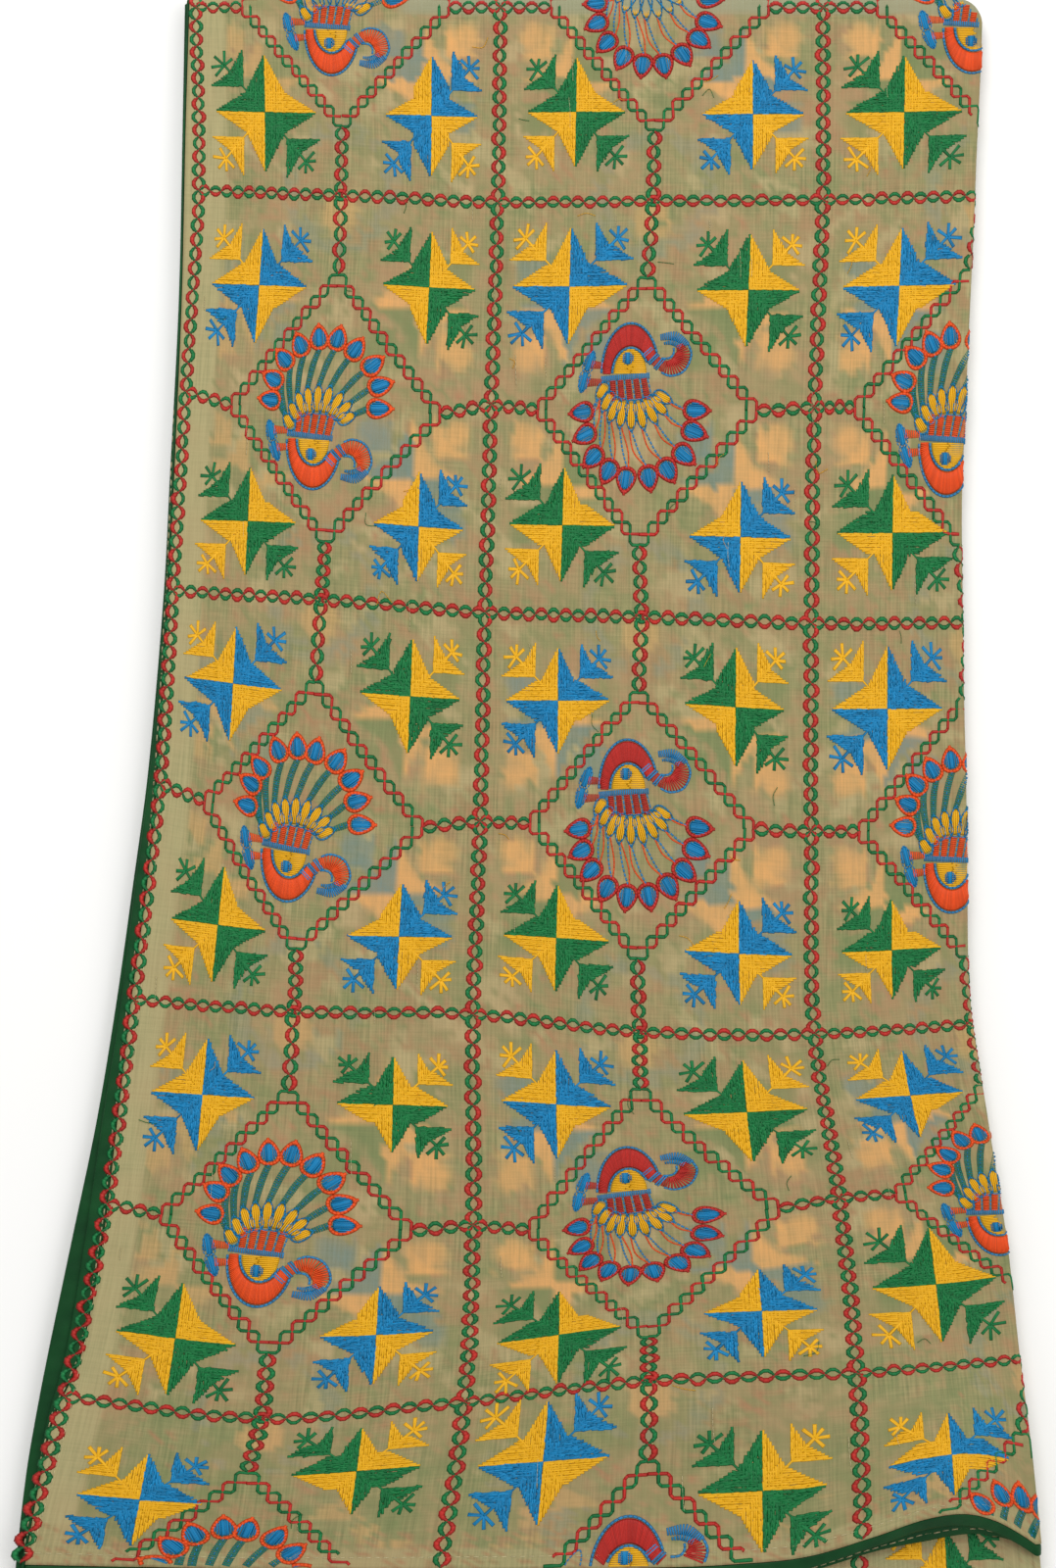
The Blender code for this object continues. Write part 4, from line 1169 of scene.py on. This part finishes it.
def readSides(count=31):
    # The sides' table with smooth stations between its rows
    sides = np.array(pliesSides)
    fine = np.linspace(0.0, len(sides) - 1.0, count)
    return np.stack([curveThrough(np.arange(len(sides), dtype=float), sides[:, k:k + 1], fine)
                     for k in range(8)], axis=1)


pliesTable = readSides()


def makeFoldedPlies():
    across, along = spread(plies["across"], 1.0, 1.5), spread(plies["along"], 0.5, 6.0)
    rows, columns = len(along), len(across)
    x, y = pliesPlan(*np.meshgrid(across, along), *pliesSides[-1][0::2])
    top = toPoints(x, y, pliesHeight(x, y))
    numbers = np.arange(rows * columns).reshape(rows, columns)
    rim = np.concatenate([numbers[0], numbers[1:, -1], numbers[-1, -2::-1], numbers[-2:0:-1, 0]])
    j, i = np.divmod(rim, columns)
    rimTop = top[j, i]
    turn = 1.0 - (pile["farY"] - plies["farTurn"] - rimTop[:, 1]) / plies["farTurn"]
    onRight, onFar, onNear, onLeft = i == columns - 1, j == 0, j == rows - 1, (i == 0) & (j > 0)
    beside = onRight & ~onFar
    sidesHere = onFar * 1.0 + beside + onNear + onLeft
    rings = []
    for leftIn, leftZ, farIn, farZ, rightIn, rightZ, nearIn, nearZ in pliesTable[-2::-1]:
        sideIn = np.where(onFar, farIn, rightIn + (farIn - rightIn) * ease(2.0 * turn) * onRight)
        rightLevel = rightZ + (farZ - rightZ) * ease(2.0 * turn - 1.0)
        z = (onFar * farZ + beside * rightLevel + onNear * nearZ + onLeft * leftZ) / sidesHere
        x, y = pliesPlan(across[i], along[j], leftIn, farIn, sideIn, nearIn)
        rings.append(toPoints(x, y, np.maximum(np.minimum(z, rimTop[:, 2]), 0.0)))
    points = np.concatenate([top.reshape(-1, 3)] + rings)
    ladder = np.vstack([rim, rows * columns + np.arange(len(rings) * len(rim)).reshape(len(rings), -1)])
    sideFaces = quadFaces(ringed(ladder))[:, (0, 3, 2, 1)]
    faces = quadFaces(numbers).tolist() + sideFaces.tolist() + [ladder[-1].tolist()]
    piece = addMesh("foldedPlies", points, faces, innerCloth)
    printCloth(piece, points)
    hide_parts("under_layers")
    return piece


foldedPlies = makeFoldedPlies()
print("folded plies made")

# embroidery of the bottom third: over the ledge, round the near fold and along the underside
lowerPly = {"ledgeY": -0.360, "startV": -0.5, "lead": 0.017, "farEnd": 0.382}


def lowerRoute():
    # Y and Z along the outer face, by the run from the ledge's hidden start
    sides = pliesTable[::-1]
    y = np.concatenate([[lowerPly["ledgeY"]], pile["nearY"] + sides[:, 6], [lowerPly["farEnd"]]])
    z = np.concatenate([[plies["ledge"]], sides[:, 7], [sides[-1, 7]]])
    return runOf(toPoints(y, z)), y, z


lowerRun, lowerY, lowerZ = lowerRoute()


def lowerRunAt(v):
    return (v - lowerPly["startV"]) * cell["length"] - lowerPly["lead"]


def lowerFaceAt(u, v):
    run = lowerRunAt(v)
    y, z = np.interp(run, lowerRun, lowerY), np.interp(run, lowerRun, lowerZ)
    x = patternPlan(u, (cell["farY"] - y) / cell["length"])[0]
    return toPoints(x, y, np.where(run < lowerRun[1], pliesHeight(x, y), z))


def onLower(u, v):
    run = lowerRunAt(v)
    x, y, z = lowerFaceAt(u, v).T
    right, inset = foldOutside(y), pile["cornerRadius"]
    corner = np.hypot(np.maximum(x - right + inset, 0.0), np.maximum(pile["nearY"] + inset - y, 0.0)) < 0.0095
    seen = (run > lowerRun[1]) | (y < readTable(hemLine, x, 1) + 0.002)
    return seen & corner & (x > outlineLeft(y) + 0.0125) & (x < right - 0.005) & (run < lowerRun[-1] - 0.002)


makePattern(True, 40, 3.6)
sewPieces("lower", lowerFaceAt, onLower)
print("lower embroidery sewn")

# satin binding
binding = {
    "pucker": 0.00022,          # height of the small puckers between stitches
    "puckerLength": 0.0085,
    "seamGap": 0.0003,
    "lowerWidth": 0.0079,
    "lowerEndY": 0.385,
    "farHemY": 0.396,
    "farHemX": (-0.1722, 0.2238),
    "farHemWall": 0.0012,
    "secondHemX": (-0.2365, 0.2390),
    "hemStitch": 0.62,          # share of the second hem's strip, from its edge
    "sideStitch": 0.0016,
}
# Section of a bound edge: share of its width from the seam outwards, share of its wall
bindingSection = np.array((
    (0.0, -0.5), (0.02, -0.14), (0.10, -0.02), (0.30, 0.0), (0.55, 0.0), (0.80, -0.02), (0.94, -0.10),
    (1.0, -0.45), (0.95, -0.88), (0.75, -1.0), (0.30, -1.0), (0.04, -0.9),
))


def makeBinding(name, node, inner, outer, lift, wall=pile["bindingWall"]):
    # A folded strip of satin between two lines; lift points off its face
    inner, outer, lift = np.broadcast_arrays(inner, outer, lift)
    run = runOf(outer)
    share, level = bindingSection.T[:, None, :, None]
    points = inner[:, None, :] + (outer - inner)[:, None, :] * share
    wave = np.sin(run / binding["puckerLength"] * 2.0 * math.pi + 1.7 * np.sin(run * 61.0))
    wave = wave + 0.6 * np.sin(run / binding["puckerLength"] * 3.3 + 2.0)
    bulge = np.sin(np.clip(share, 0.0, 1.0) * math.pi) * binding["pucker"] * wave[:, None, None]
    bulge = level * wall + np.where(level > -0.4, bulge, 0.0) - binding["pucker"]
    points = points + lift[:, None, :] * bulge
    points[:, :, 2] = np.maximum(points[:, :, 2], 0.0)
    ladder = np.arange(points[:, :, 0].size).reshape(len(points), -1)
    faces = quadFaces(ringed(ladder)).tolist() + [ladder[0].tolist(), ladder[-1, ::-1].tolist()]
    piece = addMesh(name, points.reshape(-1, 3), faces, greenSatin)
    bm = bmesh.new()
    bm.from_mesh(piece.data)
    bmesh.ops.recalc_face_normals(bm, faces=bm.faces)
    bm.to_mesh(piece.data)
    bm.free()
    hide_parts(node)


def levelRoute(places, z, leanZ=1.0):
    # Y, Z and the outward normal of a level run
    return toPoints(np.asarray(places, dtype=float), z, 0.0, leanZ)


def roundRoute(crestY, zFrom, zTo, direction, steps=14):
    # The same of a half round between two levels
    radius = 0.5 * (zFrom - zTo)
    turn = math.pi * np.arange(1, steps) / steps
    return toPoints(crestY + direction * radius * np.sin(turn), zFrom - radius * (1.0 - np.cos(turn)),
                    direction * np.sin(turn), np.cos(turn))


def makeSideBinding(name, node, innerX, outerX, *route):
    y, z, leanY, leanZ = np.concatenate(route).T
    makeBinding(name, node, toPoints(innerX(y), y, z), toPoints(outerX(y), y, z), toPoints(0.0, leanY, leanZ))


# Levels of the side bindings' faces, above and below the fold that they go round
sideLevels = {"front": (0.0121, 0.0042), "second": (0.0100, 0.0062),
              "outer": (0.0075, 0.0002), "inner": (0.0055, 0.0022)}


def makeSideBindings():
    hemEnd = float(readTable(hemLine, hemReach["leftX"], 1)) - pile["bindingWidth"]
    places, tailEnd = np.linspace(farCrest, hemEnd, 300), farCrest - pile["farTail"]
    for layer, innerX, outerX in (
            ("front", lambda y: readTable(sections, y, 2) - binding["seamGap"],
             lambda y: readTable(sections, y, 3)),
            ("second", lambda y: outlineLeft(y) + pile["bindingWidth"], outlineLeft)):
        top, low = sideLevels[layer]
        makeSideBinding(layer + "SideBinding", layer + "_side_binding", innerX, outerX,
                        levelRoute([tailEnd, farCrest], low, -1.0), roundRoute(farCrest, top, low, 1.0)[::-1],
                        levelRoute(places, top))
    nearCrest = pile["nearY"] + 0.5 * (sideLevels["outer"][0] - sideLevels["outer"][1])
    there = np.linspace(binding["lowerEndY"], nearCrest, 200)
    back = np.linspace(nearCrest, tailEnd - 2.0 * binding["seamGap"], 200)
    for layer, inset in (("outer", 0.0012), ("inner", 0.0004)):
        top, low = sideLevels[layer]
        low += pile["bindingWall"]
        makeSideBinding(layer + "FoldSideBinding", layer + "_fold_side_binding",
                        lambda y: outlineLeft(y) + inset + binding["lowerWidth"],
                        lambda y: outlineLeft(y) + inset, levelRoute(there, low),
                        roundRoute(nearCrest, top, low, -1.0)[::-1], levelRoute(back, top))


makeSideBindings()


def makeHemBindings():
    up = (0.0, 0.0, 1.0)
    # Front hem: carries the cloth on past its end, and turns down a little on the arch
    x, y = frontPlan(np.linspace(0.0, 1.0, 320), np.ones(320))
    line = toPoints(x, y, frontHeight(x, y))
    steps = frontCounts["rollSteps"]
    low = np.array([pile["sideFoldLow"]])
    rings = rollRings(line[-1:], np.array([[1.0, 0.0, 0.0]]), low, np.zeros(1), steps)[0, :steps]
    middle = line[-1] - (0.0, 0.0, 0.5 * (line[-1, 2] - low[0]))
    lift = np.concatenate([np.tile(up, (len(line), 1)), unit(rings - middle)])
    drop = np.append(0.0006 + arch["bindingDrop"] * archRise(x, y) / arch["height"], np.zeros(steps))
    inner = np.concatenate([line, rings])
    width = readTable(hemLine, inner[:, 0], 2)
    inner = inner + (0.0, -binding["seamGap"], 0.0001)
    makeBinding("frontHemBinding", "front_hem_binding", inner, inner - toPoints(0.0, width, drop), lift)

    # Second ply's hem, a step lower
    x = np.linspace(*binding["secondHemX"], 300)
    frontEnd, width, edgeY = (readTable(hemLine, x, k) for k in (1, 2, 3))
    top = frontHeight(x, frontEnd) - pile["cadWall"] - pile["bindingWall"]
    lifted = archRise(x, frontEnd) / arch["height"]
    innerY = np.maximum(edgeY + pile["bindingWidth"] * (1.0 - 0.25 * lifted), frontEnd - width + 0.0012)
    makeBinding("secondHemBinding", "second_hem_binding", toPoints(x, innerY, top - 0.0042 * lifted),
                toPoints(x, edgeY, top - 0.0088 * lifted), up)

    # Far hems of the bottom third
    for layer, top in (("Upper", 0.0035), ("Lower", 0.0015)):
        outer = toPoints(np.linspace(*binding["farHemX"], 120), binding["farHemY"], top)
        makeBinding("farHemBinding" + layer, "far_hem_binding_" + layer.lower(),
                    outer - (0.0, pile["bindingWidth"], 0.0), outer, up, binding["farHemWall"])


makeHemBindings()
print("bindings made")


def sewAlong(name, piece, places):
    # Cream running stitch along a plan line, let down onto the piece under it
    tree = BVHTree.FromPolygons([point.co[:] for point in piece.data.vertices],
                                [face.vertices[:] for face in piece.data.polygons])
    drops = [tree.ray_cast((x, y, 0.05), (0.0, 0.0, -1.0))[0] for x, y in places]
    line = np.array([drop[:] for drop in drops if drop is not None])
    run = 1000.0 * runOf(line)
    way = unit(line[-1] - line[0])
    aside = 0.001 * cellMm[1] * np.array([-way[1], way[0], 0.0])

    def face(u, v):
        return toPoints(*[np.interp(u * cellMm[0], run, line[:, k]) for k in range(3)]) + v[..., None] * aside

    starts = np.arange(1.0, run[-1] - 4.0, 4.4)
    path = toPoints(starts, dice.normal(0.0, 0.15, len(starts)))
    stitch("cream", path, path + (3.0, 0.0), width=0.7, rise=0.5)
    return sewPieces(name, face, lambda u, v: u > -1.0)


def sewBindings():
    x = np.linspace(-0.228, 0.236, 260)
    edgeY, frontEnd, width = (readTable(hemLine, x, k) for k in (3, 1, 2))
    y = edgeY + binding["hemStitch"] * np.minimum(frontEnd - width - edgeY, pile["bindingWidth"])
    sewAlong("secondHemStitch", bpy.data.objects["secondHemBinding"], toPoints(x, y))
    y = np.linspace(0.385, -0.370, 260)
    places = toPoints(readTable(sections, y, 2) - binding["sideStitch"], y)
    return sewAlong("frontSideStitch", bpy.data.objects["frontSideBinding"], places)


frontSeam = sewBindings()

# camera, floor and light
view = {"lens": 60.0, "sensor": 36.0, "target": (0.0, 0.002, 0.011), "distance": 1.288, "elevation": 86.0,
        "floor": (0.94, 0.94, 0.93, 1.0), "sky": (1.0, 0.99, 0.97, 1.0), "skyStrength": 0.62}


# Lights: place, size, power
lights = {"keyLight": ((-0.35, 1.25, 1.85), 1.4, 24.0), "fillLight": ((1.3, 0.1, 1.6), 1.6, 10.0)}


def addToScene(name, data):
    thing = bpy.data.objects.new(name, data)
    bpy.context.scene.collection.objects.link(thing)
    return thing


def makeStudio():
    scene = bpy.context.scene
    scene.view_settings.view_transform = "Standard"
    camera = addToScene("camera", bpy.data.cameras.new("camera"))
    camera.data.lens, camera.data.sensor_width = view["lens"], view["sensor"]
    tilt = math.radians(90.0 - view["elevation"])
    x, y, z = view["target"]
    camera.location = (x, y - view["distance"] * math.sin(tilt), z + view["distance"] * math.cos(tilt))
    camera.rotation_euler = (tilt, 0.0, 0.0)
    scene.camera = camera

    mesh = bpy.data.meshes.new("table")
    bm = bmesh.new()
    bmesh.ops.create_grid(bm, x_segments=1, y_segments=1, size=6.0)
    bm.to_mesh(mesh)
    bm.free()
    material, tree, shader = newMaterial("paleFloor", 0.9)
    shader.inputs["Base Color"].default_value = view["floor"]
    mesh.materials.append(material)
    addToScene("table", mesh)

    scene.world = bpy.data.worlds.new("studio")
    scene.world.use_nodes = True
    background = scene.world.node_tree.nodes["Background"]
    background.inputs["Color"].default_value = view["sky"]
    background.inputs["Strength"].default_value = view["skyStrength"]
    for name, (place, size, power) in lights.items():
        light = addToScene(name, bpy.data.lights.new(name, "AREA"))
        light.data.shape, light.data.size, light.data.energy = "DISK", size, power
        light.location = place
        light.rotation_euler = (-Vector(place)).to_track_quat("-Z", "Y").to_euler()


makeStudio()
